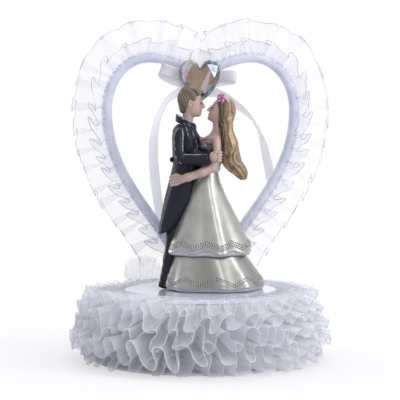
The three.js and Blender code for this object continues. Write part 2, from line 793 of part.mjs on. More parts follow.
const shoe = (side) => (grow) =>
  loft(
    [
      { at: vec(legX - 4.6, side * 5, 1.9), u: axisZ, v: axisY, a: 1.5, b: 1.6 },
      { at: vec(legX - 3.6, side * 5, 2.2), u: axisZ, v: axisY, a: 2.2, b: 2.6 },
      { at: vec(legX + 1, side * 5.2, 2.2), u: axisZ, v: axisY, a: 2.2, b: 2.8 },
      { at: vec(legX + 6, side * 5.8, 1.9), u: axisZ, v: axisY, a: 1.9, b: 2.8 },
      { at: vec(legX + 8.4, side * 6, 1.6), u: axisZ, v: axisY, a: 1.4, b: 1.9 },
    ],
    10,
    grow,
  );

const tieHeight = shoulderHeight + 3.4;
const bowTie = (grow) =>
  loft(
    [-2.6, -1.6, 0, 1.6, 2.6].map((y) => ({
      at: vec(groomX + 4.6, y, tieHeight),
      u: axisX,
      v: axisZ,
      a: 0.8,
      b: 0.7 + 0.36 * Math.abs(y),
    })),
    10,
    grow,
  );

// Whole pieces come first. A later piece is cut by the earlier ones that it meets.
const coupleOrder = [
  ["bride_skirt_lower", skirtLower, pearl],
  ["bride_skirt_upper", skirtUpper, pearl],
  ["bride_bodice", bodice, pearl],
  ["bride_head", brideHead, skin],
  ["groom_head", groomHead, skin],
  ["groom_hand_near", handNear, skin],
  ["groom_hand_far", handFar, skin],
  ["bride_arm_near", armNear, skin],
  ["bride_arm_far", armFar, skin],
  ["groom_sleeve_near", sleeveNear, black],
  ["groom_sleeve_far", sleeveFar, black],
  ["groom_bow_tie", bowTie, black],
  ["groom_coat", coat, black],
  ["groom_trousers", trousers, black],
  ["groom_shoe_near", shoe(-1), black],
  ["groom_shoe_far", shoe(1), black],
  ["groom_hair", groomHair, brown, groomFace],
  ["bride_hair", brideHair, golden, brideFace],
  ["bride_flower", flower, pink],
];
const asSolid = (shape) => (shape.isBufferGeometry ? toSolid(shape) : shape);
const earlier = [];
for (const [name, build, finish, extraCut] of coupleOrder) {
  const whole = asSolid(build(0));
  const near = earlier.filter((grown) => grown.intersect(whole).volume() > 0);
  if (extraCut) near.push(extraCut);
  place(name, cut(whole, ...near), finish, couple);
  earlier.push(asSolid(build(seatGap)));
}

export default group;
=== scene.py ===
# %% [markdown]
# # A wedding cake topper, dressed in Blender
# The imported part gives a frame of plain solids: a round base, a heart arch, a bow and a cast couple.
# This lesson dresses that frame piece by piece. Every piece sits where its solid sits, in metres.
# Lengths below are in millimetres, because that is how a maker would measure such a small thing.

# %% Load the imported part
import math

import bmesh
import bpy
import numpy as np
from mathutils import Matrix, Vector


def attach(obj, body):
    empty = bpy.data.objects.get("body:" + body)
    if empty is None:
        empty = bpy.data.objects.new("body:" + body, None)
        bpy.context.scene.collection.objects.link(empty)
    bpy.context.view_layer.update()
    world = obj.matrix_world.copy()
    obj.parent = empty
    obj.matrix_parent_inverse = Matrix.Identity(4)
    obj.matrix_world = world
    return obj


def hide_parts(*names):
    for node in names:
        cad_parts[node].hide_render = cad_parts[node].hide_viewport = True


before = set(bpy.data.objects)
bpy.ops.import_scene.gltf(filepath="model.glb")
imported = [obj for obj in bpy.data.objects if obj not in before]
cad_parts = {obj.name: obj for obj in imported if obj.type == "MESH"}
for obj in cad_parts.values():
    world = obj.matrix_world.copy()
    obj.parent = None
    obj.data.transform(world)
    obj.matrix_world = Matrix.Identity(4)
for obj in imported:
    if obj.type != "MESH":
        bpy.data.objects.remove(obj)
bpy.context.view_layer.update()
scene = bpy.context.scene
scene.view_settings.view_transform = "Standard"
MM = 0.001
print("nodes in the frame:", len(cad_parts))

# %% [markdown]
# ## The camera
# The photograph looks at the topper from the front, a little above the couple's heads, through a long lens.
# A long lens far away keeps the round base from bulging, so the camera stands 90 cm off and aims
# slightly down.

# %% Camera
EYE = Vector((0, -0.9, 0.144))
AIM = Vector((-0.0003, 0, 0.0878))
SENSOR_WIDTH = 36
FOCAL_LENGTH = 147.3


def stand(holder, place, aim):
    """Put a camera or a lamp at its place and turn it to what it aims at."""
    holder.location = place
    holder.rotation_euler = (Vector(aim) - Vector(place)).to_track_quat("-Z", "Y").to_euler()
    scene.collection.objects.link(holder)


lens = bpy.data.cameras.new("camera")
lens.sensor_width = SENSOR_WIDTH
lens.lens = FOCAL_LENGTH
camera = bpy.data.objects.new("camera", lens)
stand(camera, EYE, AIM)
scene.camera = camera
print("camera looks down by", round(math.degrees(math.atan2(EYE.z - AIM.z, -EYE.y)), 2), "degrees")

# %% [markdown]
# ## Node graphs as sums
# A finish is a graph of nodes. Wiring each sum by hand hides what it says, so a small class wraps a socket
# and lets Python's operators add the Math nodes. Every other node comes from one method.

# %% Wires and graphs
class Wire:
    """One output of a node. Sums on it become Math nodes."""

    def __init__(self, graph, socket):
        self.graph = graph
        self.socket = socket

    def other(self, name):
        return Wire(self.graph, self.socket.node.outputs[name])

    def math(self, operation, first, second=0.0):
        return self.graph.add("ShaderNodeMath", {"operation": operation}, {0: first, 1: second})

    def __add__(self, other):
        return self.math("ADD", self, other)

    def __sub__(self, other):
        return self.math("SUBTRACT", self, other)

    def __rsub__(self, other):
        return self.math("SUBTRACT", other, self)

    def __mul__(self, other):
        return self.math("MULTIPLY", self, other)

    def __abs__(self):
        return self.math("ABSOLUTE", self)

    __radd__ = __add__
    __rmul__ = __mul__

    def wave(self):
        """A sine between 0 and 1."""
        return self.math("SINE", self) * 0.5 + 0.5

    def largest(self, other):
        return self.math("MAXIMUM", self, other)

    def between(self, low, high):
        """0 below low, 1 above high, smooth in between."""
        settings = {"interpolation_type": "SMOOTHSTEP"}
        return self.graph.add("ShaderNodeMapRange", settings, {0: self, 1: low, 2: high})


class Graph:
    """A node tree that is built by naming nodes, their settings and what their sockets take."""

    def __init__(self, tree):
        self.tree = tree

    def add(self, kind, settings=None, sockets=None, output=0):
        node = self.tree.nodes.new(kind)
        for name, value in (settings or {}).items():
            if name == "stops":
                self.set_stops(node.color_ramp, value)
            else:
                setattr(node, name, value)
        for name, value in (sockets or {}).items():
            self.feed(node.inputs[name], value)
        return Wire(self, node.outputs[output])

    def set_stops(self, ramp, stops):
        while len(ramp.elements) < len(stops):
            ramp.elements.new(0.5)
        for element, (place, colour) in zip(ramp.elements, stops):
            element.position = place
            element.color = (*colour, 1)

    def feed(self, socket, value):
        if isinstance(value, Wire):
            self.tree.links.new(value.socket, socket)
        else:
            socket.default_value = value

    def mix(self, first, second, share):
        first, second = (c if isinstance(c, Wire) else (*c, 1) for c in (first, second))
        return self.add("ShaderNodeMix", {"data_type": "RGBA"}, {0: share, 6: first, 7: second}, 2)


class Finish(Graph):
    """One material on the Principled shader."""

    def __init__(self, name, constants):
        self.material = bpy.data.materials.new(name)
        self.material.use_nodes = True
        super().__init__(self.material.node_tree)
        self.shader = self.tree.nodes["Principled BSDF"]
        for socket, value in constants.items():
            self.set(socket, value)

    def set(self, socket, value):
        self.feed(self.shader.inputs[socket], value)

    def place(self):
        return self.add("ShaderNodeTexCoord", output="Object")

    def stretched(self, scale, turn=(0, 0, 0)):
        return self.add("ShaderNodeMapping", {}, {"Vector": self.place(), "Scale": scale, "Rotation": turn})

    def value(self, name):
        return self.add("ShaderNodeAttribute", {"attribute_name": name}, output="Fac")

    def cloth(self):
        """Distance along the cloth and across it, in millimetres."""
        along = self.add("ShaderNodeSeparateXYZ", {}, {0: self.add("ShaderNodeUVMap", {"uv_map": "cloth"})})
        return along, along.other("Y")

    def noise(self, scale, detail=2.0, vector=None):
        sockets = {"Vector": vector or self.place(), "Scale": scale, "Detail": detail}
        return self.add("ShaderNodeTexNoise", {}, sockets)

    def bump(self, height, depth, strength=1.0):
        sockets = {"Strength": strength, "Distance": depth * MM, "Height": height}
        self.set("Normal", self.add("ShaderNodeBump", {}, sockets))


print("graph helpers are ready")

# %% [markdown]
# ## Studio
# The topper stands on a pale table in soft light. The world is white where the camera, a mirror or clear
# plastic looks at it, and dimmer where it lights the topper, so pale cloth keeps its folds. Near the topper
# the table shows its shadow, and further out it fades to the same white.

# %% World and table
def light_path(graph):
    camera_ray = graph.add("ShaderNodeLightPath", output="Is Camera Ray")
    mirrored = camera_ray.other("Is Glossy Ray").largest(camera_ray.other("Is Transmission Ray"))
    return camera_ray.largest(mirrored)


SKY = (0.90, 0.91, 1.0)
SKY_STRENGTH = 0.55
WHITE = (1, 1, 1)
world = bpy.data.worlds.new("studio")
world.use_nodes = True
scene.world = world
sky = Graph(world.node_tree)
seen = light_path(sky)
background = world.node_tree.nodes["Background"]
sky.feed(background.inputs["Color"], sky.mix(SKY, WHITE, seen))
sky.feed(background.inputs["Strength"], seen * (1 - SKY_STRENGTH) + SKY_STRENGTH)

TABLE_SIZE = 3.0
TABLE_DROP = 0.2
# Between these distances from the middle, in metres, the table fades to white.
FADE = (0.08, 0.24)
LEAST_FADE = 0.55
corners = [(-1, -1), (1, -1), (1, 1), (-1, 1)]
table_points = [(TABLE_SIZE * x, TABLE_SIZE * y, -TABLE_DROP * MM) for x, y in corners]
table_mesh = bpy.data.meshes.new("table")
table_mesh.from_pydata(table_points, [], [(0, 1, 2, 3)])
table = bpy.data.objects.new("table", table_mesh)
scene.collection.objects.link(table)

table_finish = Finish("table_white", {"Base Color": (0.86, 0.86, 0.88, 1), "Roughness": 0.8})
table_mesh.materials.append(table_finish.material)
on_table = table_finish.place()
from_middle = table_finish.add("ShaderNodeVectorMath", {"operation": "LENGTH"}, {0: on_table}, "Value")
fade = from_middle.between(*FADE) * (1 - LEAST_FADE) + LEAST_FADE
white = table_finish.add("ShaderNodeEmission", {}, {"Color": (*WHITE, 1), "Strength": 1.0})
shaded = Wire(table_finish, table_finish.shader.outputs[0])
faded = light_path(table_finish) * fade
shown = table_finish.add("ShaderNodeMixShader", {}, {0: faded, 1: shaded, 2: white})
table_finish.feed(table_finish.tree.nodes["Material Output"].inputs["Surface"], shown)
print("table and world are white to the camera")

# %% Lamps
MIDDLE = (0, 0, 0.1)
# Place, width and height of each lamp in metres, and its power in watts.
SOFT_BOXES = {
    "key_box": ((0.34, -1.0, 0.8), 0.3, 0.8, 3.3),
    "right_box": ((0.85, -0.4, 0.55), 0.3, 0.8, 4.6),
    "left_box": ((-0.8, 0.5, 0.45), 0.3, 0.8, 2.2),
    "top_box": ((0.1, 0.35, 1.1), 0.9, 0.6, 4.3),
}
for name, (place, width, height, power) in SOFT_BOXES.items():
    lamp = bpy.data.lights.new(name, "AREA")
    lamp.shape = "RECTANGLE"
    lamp.size = width
    lamp.size_y = height
    lamp.energy = power
    stand(bpy.data.objects.new(name, lamp), place, MIDDLE)
print("soft boxes:", len(SOFT_BOXES))

# %% [markdown]
# ## Points, rows and shells
# Most pieces here are sheets or shells that follow a line. A grid of points, column by column, gives a sheet.
# A row of closed loops gives a shell. NumPy works out the points, and these helpers turn them into meshes.

# %% Mesh helpers
def unit(vectors):
    return vectors / np.maximum(np.linalg.norm(vectors, axis=-1, keepdims=True), 1e-12)


def smooth(low, high, value):
    t = np.clip((value - low) / (high - low), 0, 1)
    return t * t * (3 - 2 * t)


def bent(values, power):
    """A power that keeps the sign, to square off a round section or to pinch it."""
    return np.sign(values) * np.abs(values) ** power


def walked(points):
    """Distance walked along a row of points, from 0 at the first."""
    return np.concatenate([[0], np.cumsum(np.linalg.norm(np.diff(points, axis=0), axis=1))])


def even(points, count):
    """The same line with points at even distances."""
    at = walked(points)
    wanted = np.linspace(0, at[-1], count)
    return np.stack([np.interp(wanted, at, points[:, i]) for i in range(3)], 1)


SPLINE_STEPS = 24


def through(points, count):
    """A centripetal spline through points, as the solids' routes use."""
    p = np.asarray(points, float)
    p = np.vstack([2 * p[0] - p[1], p, 2 * p[-1] - p[-2]])
    line = []
    for i in range(1, len(p) - 2):
        quad = p[i - 1 : i + 3]
        knots = np.concatenate([[0], np.cumsum(np.linalg.norm(np.diff(quad, axis=0), axis=1) ** 0.5)])
        t = np.linspace(knots[1], knots[2], SPLINE_STEPS, endpoint=False)[:, None]
        blend = lambda a, b, k0, k1: a * (k1 - t) / (k1 - k0) + b * (t - k0) / (k1 - k0)
        first = [blend(quad[j], quad[j + 1], knots[j], knots[j + 1]) for j in range(3)]
        second = [blend(first[j], first[j + 1], knots[j], knots[j + 2]) for j in range(2)]
        line.append(blend(second[0], second[1], knots[1], knots[2]))
    return even(np.vstack([*line, p[-2:-1]]), count)


def new_piece(name, mesh, body, replaced=()):
    piece = bpy.data.objects.new(name, mesh)
    scene.collection.objects.link(piece)
    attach(piece, body)
    if replaced:
        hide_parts(*replaced)
    return piece


def mesh_of(name, points, faces, finish, smoothed=True):
    mesh = bpy.data.meshes.new(name)
    faces = [face.tolist() if hasattr(face, "tolist") else list(face) for face in faces]
    mesh.from_pydata((np.asarray(points).reshape(-1, 3) * MM).tolist(), [], faces)
    mesh.polygons.foreach_set("use_smooth", np.full(len(mesh.polygons), smoothed))
    mesh.materials.append(finish.material)
    mesh.update()
    return mesh


def keep_value(mesh, name, values, domain="POINT"):
    """Keeps a number at every point, or at every face, for the finish to read."""
    kept = mesh.attributes.new(name, "FLOAT", domain)
    kept.data.foreach_set("value", np.asarray(values, np.float32).ravel())


def grid_faces(columns, rows, ring):
    c = np.arange(columns if ring else columns - 1)
    r = np.arange(rows - 1)
    a = (c[:, None] * rows + r).ravel()
    b = (((c[:, None] + 1) % columns) * rows + r).ravel()
    return np.stack([a, b, b + 1, a + 1], 1)


def set_cloth(mesh, uv):
    """The cloth's UV map in millimetres, from a place for every corner of every face."""
    mesh.uv_layers.new(name="cloth").data.foreach_set("uv", uv.astype(np.float32).ravel())


def lay_cloth(mesh, u, v):
    """Lays cloth on a grid: u at every column's edge, v at every row."""
    columns = len(u) - 1
    c = np.repeat(np.arange(columns), len(v) - 1)
    r = np.tile(np.arange(len(v) - 1), columns)
    corner_u = np.stack([u[c], u[c + 1], u[c + 1], u[c]], 1).ravel()
    corner_v = np.stack([v[r], v[r], v[r + 1], v[r + 1]], 1).ravel()
    set_cloth(mesh, np.stack([corner_u, corner_v], 1))


def lay_points(mesh, u, v):
    """Lays cloth by a place for every point of a mesh."""
    corner = np.zeros(len(mesh.loops), np.int32)
    mesh.loops.foreach_get("vertex_index", corner)
    set_cloth(mesh, np.stack([u, v], 1)[corner])


def outward(mesh):
    """Turns every face of a closed shell outwards."""
    work = bmesh.new()
    work.from_mesh(mesh)
    bmesh.ops.recalc_face_normals(work, faces=work.faces)
    work.to_mesh(mesh)
    work.free()
    return mesh


def round_faces(loops, size):
    """Quads between closed loops of points."""
    i = np.arange(loops - 1)
    k = np.arange(size)
    a = (i[:, None] * size + k).ravel()
    b = (i[:, None] * size + (k + 1) % size).ravel()
    return np.stack([a, b, b + size, a + size], 1)


def shell_faces(loops, size):
    """The same with a cap on each end."""
    last = (loops - 1) * size
    return [*round_faces(loops, size), np.arange(size), np.arange(last, last + size)]


def ribbon_mesh(name, path, across, finish, width, thickness, crown=0.0, slant=0.0, steps=8):
    """A flat ribbon with a real thickness. across is the width's direction at each point of the path."""
    along = unit(np.gradient(path, axis=0))
    face = unit(np.cross(along, across))
    t = np.linspace(-0.5, 0.5, steps)
    middle = path[:, None] + across[:, None] * (t * width)[None, :, None]
    middle = middle + face[:, None] * (crown * (1 - 4 * t**2))[None, :, None]
    middle[-1] += along[-1] * (slant * t)[:, None]
    half = 0.5 * thickness * face[:, None]
    loops = np.concatenate([middle + half, (middle - half)[:, ::-1]], 1)
    mesh = mesh_of(name, loops, shell_faces(len(path), 2 * steps), finish)
    v = np.concatenate([t, t[::-1]]) * width
    lay_points(mesh, np.repeat(walked(path), 2 * steps), np.tile(v, len(path)))
    # The face marked inner is painted lighter by the satin finish: painted light on the inside of a loop.
    inner = np.repeat([1, 0] if face[0, 1] > 0 else [0, 1], steps)
    keep_value(mesh, "inner", np.tile(inner, len(path)))
    return outward(mesh)


print("mesh helpers are ready")

# %% [markdown]
# ## Satin
# The bow, its tails and the sleeve on the heart are white satin ribbon. Satin floats its threads along the
# ribbon, so it shines in bands and shows a fine grain along its length and a woven edge on both sides.
# The ribbon's own UV map carries the grain, because it has to bend with the ribbon.

# %% Satin ribbon
RIBBON_WIDTH = 6.4
LIT_INSIDE_WHITE = (0.96, 0.96, 1.0)
EDGE_WHITE = (0.94, 0.94, 0.98)
# Scales along and across the ribbon, and the share of its width where the woven edge starts and is full.
SATIN_GRAIN = (0.25, 6.0)
SATIN_WEAVE = (9.0, 14.0)
SATIN_EDGE = (0.42, 0.5)


def satin_finish(name, shade, pale, cover):
    cloth = Finish(name, {"Sheen Weight": 0.25, "Sheen Roughness": 0.35, "Alpha": cover})
    u, v = cloth.cloth()
    grain_place = cloth.add("ShaderNodeCombineXYZ", {}, {0: u * SATIN_GRAIN[0], 1: v * SATIN_GRAIN[1]})
    grain = cloth.noise(1.0, 3.0, grain_place)
    woven = (u * SATIN_WEAVE[0]).wave() * (v * SATIN_WEAVE[1]).wave()
    edge = abs(v).between(*(share * RIBBON_WIDTH for share in SATIN_EDGE))
    body = cloth.mix(shade, pale, grain)
    # The inner face is painted nearly white: painted light on the inside of a loop.
    body = cloth.mix(body, LIT_INSIDE_WHITE, cloth.value("inner"))
    cloth.set("Base Color", cloth.mix(body, EDGE_WHITE, edge))
    cloth.set("Roughness", 0.34 + grain * 0.16 + edge * 0.1)
    cloth.bump(woven * 0.4 + grain * 0.6 + edge * 0.8, 0.06, 0.5)
    return cloth


satin = satin_finish("satin_ribbon", (0.89, 0.89, 0.96), (0.96, 0.96, 0.99), 0.5)
# The loops get a darker copy of the same white satin: painted shade on the loops.
shaded_loop_satin = satin_finish("satin_loops", (0.60, 0.60, 0.66), (0.72, 0.72, 0.77), 1.0)
print("satin ribbon finish")

# %% [markdown]
# ## The tails of the bow
# Two free lengths of ribbon hang from the knot through the heart. They are limp cords, flat and 6.4 mm wide.
# They repeat the routes of their solids, and turn a little about their own line as loose ribbon does.

# %% Ribbon tails
BOW = np.array([0, 21.7, 154.2])
TAIL_ROUTES = {
    "left": [
        (-3.5, -1.8, -6.6), (-9, -1.9, -6.5), (-14.2, -1.8, -8), (-19, -0.9, -11.8), (-22.8, 0.4, -18.7),
        (-25.6, 2, -28.3), (-26.7, 4, -39.6), (-26.2, 6, -52.1), (-24.8, 7.3, -65.1), (-22.4, 7.9, -80.5),
    ],
    "right": [
        (3.5, -1.8, -6.6), (8.2, -1.9, -7.2), (13.4, -1.8, -9.4), (19.6, -1, -13.7), (26.2, 0.4, -19.2),
        (31.0, 1.8, -25), (34.8, 3.6, -33.4), (37.7, 5.8, -45.0), (39.5, 7.2, -54), (41, 7.9, -61),
    ],
}
# How far each tail is turned about its own line, in degrees, at even distances.
TAIL_TURNS = {
    "left": (0, 45, 66, 60, 44, 34, 30, 32, 34, 32),
    "right": (20, 45, 50, 60, 78, 74, 52, 42, 40, 40),
}
TAIL_POINTS = 72
TAIL_THICKNESS = 0.25
TAIL_CROWN = 0.25
TAIL_SLANT = 3.0
BACK = np.array([0, 1.0, 0])
for side, route in TAIL_ROUTES.items():
    path = through(np.array(route) + BOW, TAIL_POINTS)
    along = unit(np.gradient(path, axis=0))
    flat = unit(np.cross(along, BACK))
    knots = range(len(TAIL_TURNS[side]))
    turns = np.interp(np.linspace(0, knots[-1], TAIL_POINTS), knots, TAIL_TURNS[side])
    turns = np.radians(turns)[:, None]
    across = flat * np.cos(turns) + np.cross(along, flat) * np.sin(turns)
    mesh = ribbon_mesh(
        "tail_" + side, path, across, satin, RIBBON_WIDTH, TAIL_THICKNESS, crown=TAIL_CROWN, slant=TAIL_SLANT,
    )
    tail = new_piece("tail_" + side, mesh, "tail_" + side, ["ribbon_tail_" + side])

# %% [markdown]
# ## Threads and tubes by Geometry Nodes
# Every ruffle ends in a bright thread sewn over its edge, and the heart itself is a padded tube. Both are a
# round section swept along a line, so one small tree makes them: a line of edges becomes a curve, the curve
# carries its length as a value, and a circle is swept along it.

# %% The sweeping tree
class Tree(Graph):
    """A Geometry Nodes tree with named inputs that gives one mesh."""

    def __init__(self, name, inputs):
        super().__init__(bpy.data.node_groups.new(name, "GeometryNodeTree"))
        for socket, kind in inputs.items():
            self.tree.interface.new_socket(socket, in_out="INPUT", socket_type="NodeSocket" + kind)
        self.tree.interface.new_socket("Mesh", in_out="OUTPUT", socket_type="NodeSocketGeometry")
        self.inputs = self.add("NodeGroupInput")

    def keep(self, geometry, name, value):
        """Keeps a value at every point of a geometry."""
        settings = {"data_type": "FLOAT", "domain": "POINT"}
        sockets = {"Geometry": geometry, "Name": name, "Value": value}
        return self.add("GeometryNodeStoreNamedAttribute", settings, sockets)

    def end(self, made):
        """Makes the instances real, gives them their finish and hands out the mesh."""
        made = self.add("GeometryNodeRealizeInstances", {}, {0: made})
        sockets = {"Geometry": made, "Material": self.inputs.other("Finish")}
        made = self.add("GeometryNodeSetMaterial", {}, sockets)
        self.feed(self.tree.nodes.new("NodeGroupOutput").inputs["Mesh"], made)
        return self.tree


def sweeping_tree():
    inputs = {"Line": "Geometry", "Radius": "Float", "Sides": "Int", "Finish": "Material"}
    sweep = Tree("sweep_round", inputs)
    curve = sweep.add("GeometryNodeMeshToCurve", {}, {"Mesh": sweep.inputs.other("Line")})
    curve = sweep.keep(curve, "along", sweep.add("GeometryNodeSplineParameter", output="Length"))
    sockets = {"Resolution": sweep.inputs.other("Sides"), "Radius": sweep.inputs.other("Radius")}
    ring = sweep.add("GeometryNodeCurvePrimitiveCircle", {"mode": "RADIUS"}, sockets)
    ring = sweep.keep(ring, "around", sweep.add("GeometryNodeSplineParameter", output="Factor"))
    sockets = {"Curve": curve, "Profile Curve": ring, "Fill Caps": True}
    swept = sweep.add("GeometryNodeCurveToMesh", {}, sockets)
    return sweep.end(sweep.add("GeometryNodeSetShadeSmooth", {}, {0: swept}))


def grown(name, tree, mesh, **inputs):
    """Runs a tree on a mesh and returns the plain mesh that it makes."""
    holder = bpy.data.objects.new(name, mesh)
    scene.collection.objects.link(holder)
    modifier = holder.modifiers.new("grow", "NODES")
    modifier.node_group = tree
    for socket in tree.interface.items_tree:
        if socket.in_out == "INPUT" and socket.name in inputs:
            modifier[socket.identifier] = inputs[socket.name]
    evaluated = holder.evaluated_get(bpy.context.evaluated_depsgraph_get())
    made = bpy.data.meshes.new_from_object(evaluated)
    made.name = name
    bpy.data.objects.remove(holder)
    return made


def line_mesh(name, lines):
    """Edges along one or more lines. A line is its points and whether it closes on itself."""
    points, edges = [], []
    for line, ring in lines:
        first = len(points)
        points.extend((np.asarray(line) * MM).tolist())
        edges.extend((i, i + 1) for i in range(first, len(points) - 1))
        if ring:
            edges.append((len(points) - 1, first))
    mesh = bpy.data.meshes.new(name)
    mesh.from_pydata(points, edges, [])
    return mesh


sweep_round = sweeping_tree()
print("sweeping tree has", len(sweep_round.nodes), "nodes")

# %% [markdown]
# ## Organza
# The ruffles are sheer organza: a stiff open weave that lets about half of the light through. It looks
# lavender in its folds and white where layers add up. Alpha from the weave does part of that, with pleat
# lines that run from the sewn root to the edge, and along these lines the colour is painted darker and
# paler: painted shade and light of the folds. The cloth's UV map keeps the weave square to its threads.

# %% Organza and its edge thread
ORGANZA_WEAVE = 12.0
PLEAT_LINES = (0.8, 0.06)
ROOT_BAND = 6.0


def organza_finish(name, cover, shade, pale):
    cloth = Finish(name, {"Roughness": 0.5, "Sheen Weight": 0.2, "Sheen Roughness": 0.4})
    u, v = cloth.cloth()
    weave = (u * ORGANZA_WEAVE).wave().largest((v * ORGANZA_WEAVE).wave())
    pleat_place = cloth.add("ShaderNodeCombineXYZ", {}, {0: u * PLEAT_LINES[0], 1: v * PLEAT_LINES[1]})
    pleats = cloth.noise(1.0, 2.0, pleat_place)
    near_root = 1 - v.between(0.0, ROOT_BAND)
    # Along the pleat lines the colour is painted darker and paler: painted shade and light of the folds.
    cloth.set("Base Color", cloth.mix(shade, pale, pleats.between(0.3, 0.7)))
    cloth.set("Alpha", cover - 0.08 + weave * 0.08 + (pleats - 0.5) * 0.12 + near_root * 0.08)
    cloth.bump(weave * 0.3 + pleats, 0.1, 0.3)
    return cloth


# The same organza is painted darker on the drum's tiers and paler on the top tier, the heart's rows and the
# puff: painted shade on the packed tiers and painted light on the sheer rows.
organza = organza_finish("organza", 0.56, (0.75, 0.75, 0.82), (0.83, 0.83, 0.88))
top_organza = organza_finish("organza_top", 0.31, (0.82, 0.82, 0.90), (0.90, 0.90, 0.95))
soft_organza = organza_finish("organza_soft", 0.34, (0.82, 0.81, 0.93), (0.90, 0.89, 0.97))
sheer = organza_finish("organza_sheer", 0.2, (0.84, 0.83, 0.93), (0.92, 0.91, 0.97))

# How far the twist's wave runs on in each metre of thread, and in one turn round it.
TWIST = 5200.0
FULL_TURN = 6.2832


def thread_finish(name, thread_shade, bright):
    cord = Finish(name, {"Roughness": 0.4, "Sheen Weight": 0.2})
    twist = (cord.value("along") * TWIST + cord.value("around") * FULL_TURN).wave()
    # Slow patches of the thread are painted bright and the rest duller: painted highlights where the thread
    # catches the light.
    thread_glints = cord.noise(95.0, 1.0).between(0.42, 0.6)
    cord.set("Base Color", cord.mix(thread_shade, bright, thread_glints * 0.8 + twist * 0.2))
    cord.bump(twist, 0.05, 0.6)
    return cord


thread = thread_finish("edge_thread", (0.58, 0.58, 0.65), (0.92, 0.92, 0.95))
# The heart's threads get a darker copy of the same thread: painted shade.
shaded_thread = thread_finish("heart_thread", (0.34, 0.34, 0.40), (0.74, 0.73, 0.82))
print("organza and thread finishes")

# %% [markdown]
# ## How a ruffle folds
# A gathered strip has more cloth at its free edge than at its root, so the edge swings up and down in flutes
# that lean over their own foot. A river does the same: its bends follow a curve whose direction swings like a
# cosine. Half a bend is worked out once, then every half flute gets its own width, height and lean from a
# seeded draw.

# %% Flutes
PLEATS = 2


def half_flute(overhang, samples):
    phase = np.linspace(0, np.pi, samples + 1)
    heading = overhang * np.cos(phase)
    step = lambda values: np.concatenate([[0], np.cumsum(0.5 * (values[1:] + values[:-1]))])
    x, y = step(np.cos(heading)), step(np.sin(heading))
    return x / x[-1], y / y.max()


def meander(
    draw, halves, samples, overhang=1.62, spread=0.3, heights=0.3, lean=0.25,
    drift=None, weights=1.0, sizes=1.0,
):
    """Place along the edge from 0 to 1, height from about -1 to 1, and each point's half flute."""
    x, y = half_flute(overhang, samples)
    widths = weights * (1 + spread * draw.uniform(-1, 1, halves))
    widths /= widths.sum()
    tall = sizes * (1 + heights * draw.uniform(-1, 1, halves)) * np.where(np.arange(halves) % 2, -1, 1)
    starts = np.concatenate([[0], np.cumsum(widths)[:-1]])
    leans = lean * draw.uniform(-1, 1, halves)
    if drift is not None:
        leans = leans + drift(starts)
    along = starts[:, None] + widths[:, None] * (x + leans[:, None] * np.sign(tall)[:, None] * y)[:, :-1]
    high = tall[:, None] * y[:-1]
    half = np.repeat(np.arange(halves), samples)
    return np.append(along.ravel(), 1.0), np.append(high.ravel(), 0.0), np.append(half, halves - 1)


def gathers(count, samples):
    """Small pleats at the sewn root, two to a half flute, where the spare cloth is drawn together."""
    return np.sin(2 * np.pi * PLEATS * np.arange(count) / samples)


def overlaps(count, samples):
    """How far the same pleats lean over each other, to and fro along the root."""
    return np.sin(4 * np.pi * PLEATS * np.arange(count) / samples)


def area_of(mesh):
    areas = np.zeros(len(mesh.polygons), np.float32)
    mesh.polygons.foreach_get("area", areas)
    return float(areas.sum())


def ruffle_piece(name, grid, finish, ring, rests_on):
    """A gathered sheet from its grid of points, and the size of the ribbon it was gathered from."""
    columns, rows = grid.shape[:2]
    mesh = mesh_of("organza_" + name, grid, grid_faces(columns, rows, ring), finish)
    if ring:
        edge_line = np.vstack([grid[:, -1], grid[:1, -1]])
        out = np.median(np.hypot(grid[..., 0], grid[..., 1]), 0)
        section = np.stack([out, np.median(grid[..., 2], 0)], 1)
    else:
        edge_line = grid[:, -1]
        section = grid.mean(0)
    u = walked(edge_line)
    lay_cloth(mesh, u, walked(section))
    piece = new_piece("organza_" + name, mesh, "topper", [name])
    width = float(np.median([walked(column)[-1] for column in grid[::7]])) * MM
    length = float(u[-1]) * MM
    ratio = round(area_of(mesh) / (width * length), 2)
    print(name, "ribbon", round(1000 * width, 1), "x", round(1000 * length), "mm, area ratio", ratio)
    return piece, (round(width, 4), round(length, 3)), rests_on


print("flute helpers are ready")

# %% [markdown]
# ## The ruffles round the base
# Five tiers of organza are glued round the foam drum, one above the other. The top tier also lies on the
# plate. Each is a ring of flutes about ten millimetres wide. The draw is seeded for each tier, so no two are
# alike.

# %% Rows of a tier
CORE_RADIUS = 50.3
TIER_DROP = 4.5
TIER_ROWS = 11
TIER_LIFT = 4.3
ROOT_LIFT = 1.9
TOP_LIFT = 3.7
PRESSED_LIFT = 0.3
# The top tier starts on the plate, where its gathers are pressed flat so that the plate shows.
LAID_RADII = (42.0, 44.6, 47.4)
LAID_HEIGHTS = (39.05, 39.1, 39.2)
LAID_LIFTS = (0.05, 0.1, 0.2)
LAID_FOLLOWS = (0, 0.1, 0.2)
LAID_PLEATS = (0.15, 0.18, 0.2)
LAID_OVERLAP = 0.4


def top_rows(edge_radius, edge_height):
    """Radius, height, lift, follow, flare, pleat and overlap of the top tier's rows, from root to edge."""
    down = np.linspace(0, 1, TIER_ROWS - 2)
    laid = LAID_HEIGHTS[-1]
    return (
        np.concatenate([LAID_RADII, CORE_RADIUS + (edge_radius - CORE_RADIUS) * down]),
        np.concatenate([LAID_HEIGHTS, laid + (edge_height - laid) * down**1.25]),
        np.concatenate([LAID_LIFTS, PRESSED_LIFT + (TOP_LIFT - PRESSED_LIFT) * down**1.2]),
        np.concatenate([LAID_FOLLOWS, 0.3 + 0.7 * down**0.7]),
        np.concatenate([[0, 0, 0], down]),
        np.concatenate([LAID_PLEATS, 0.2 + 0.4 * np.sin(np.pi * down)]),
        np.concatenate([[LAID_OVERLAP] * 3, LAID_OVERLAP * (1 - down)]),
    )


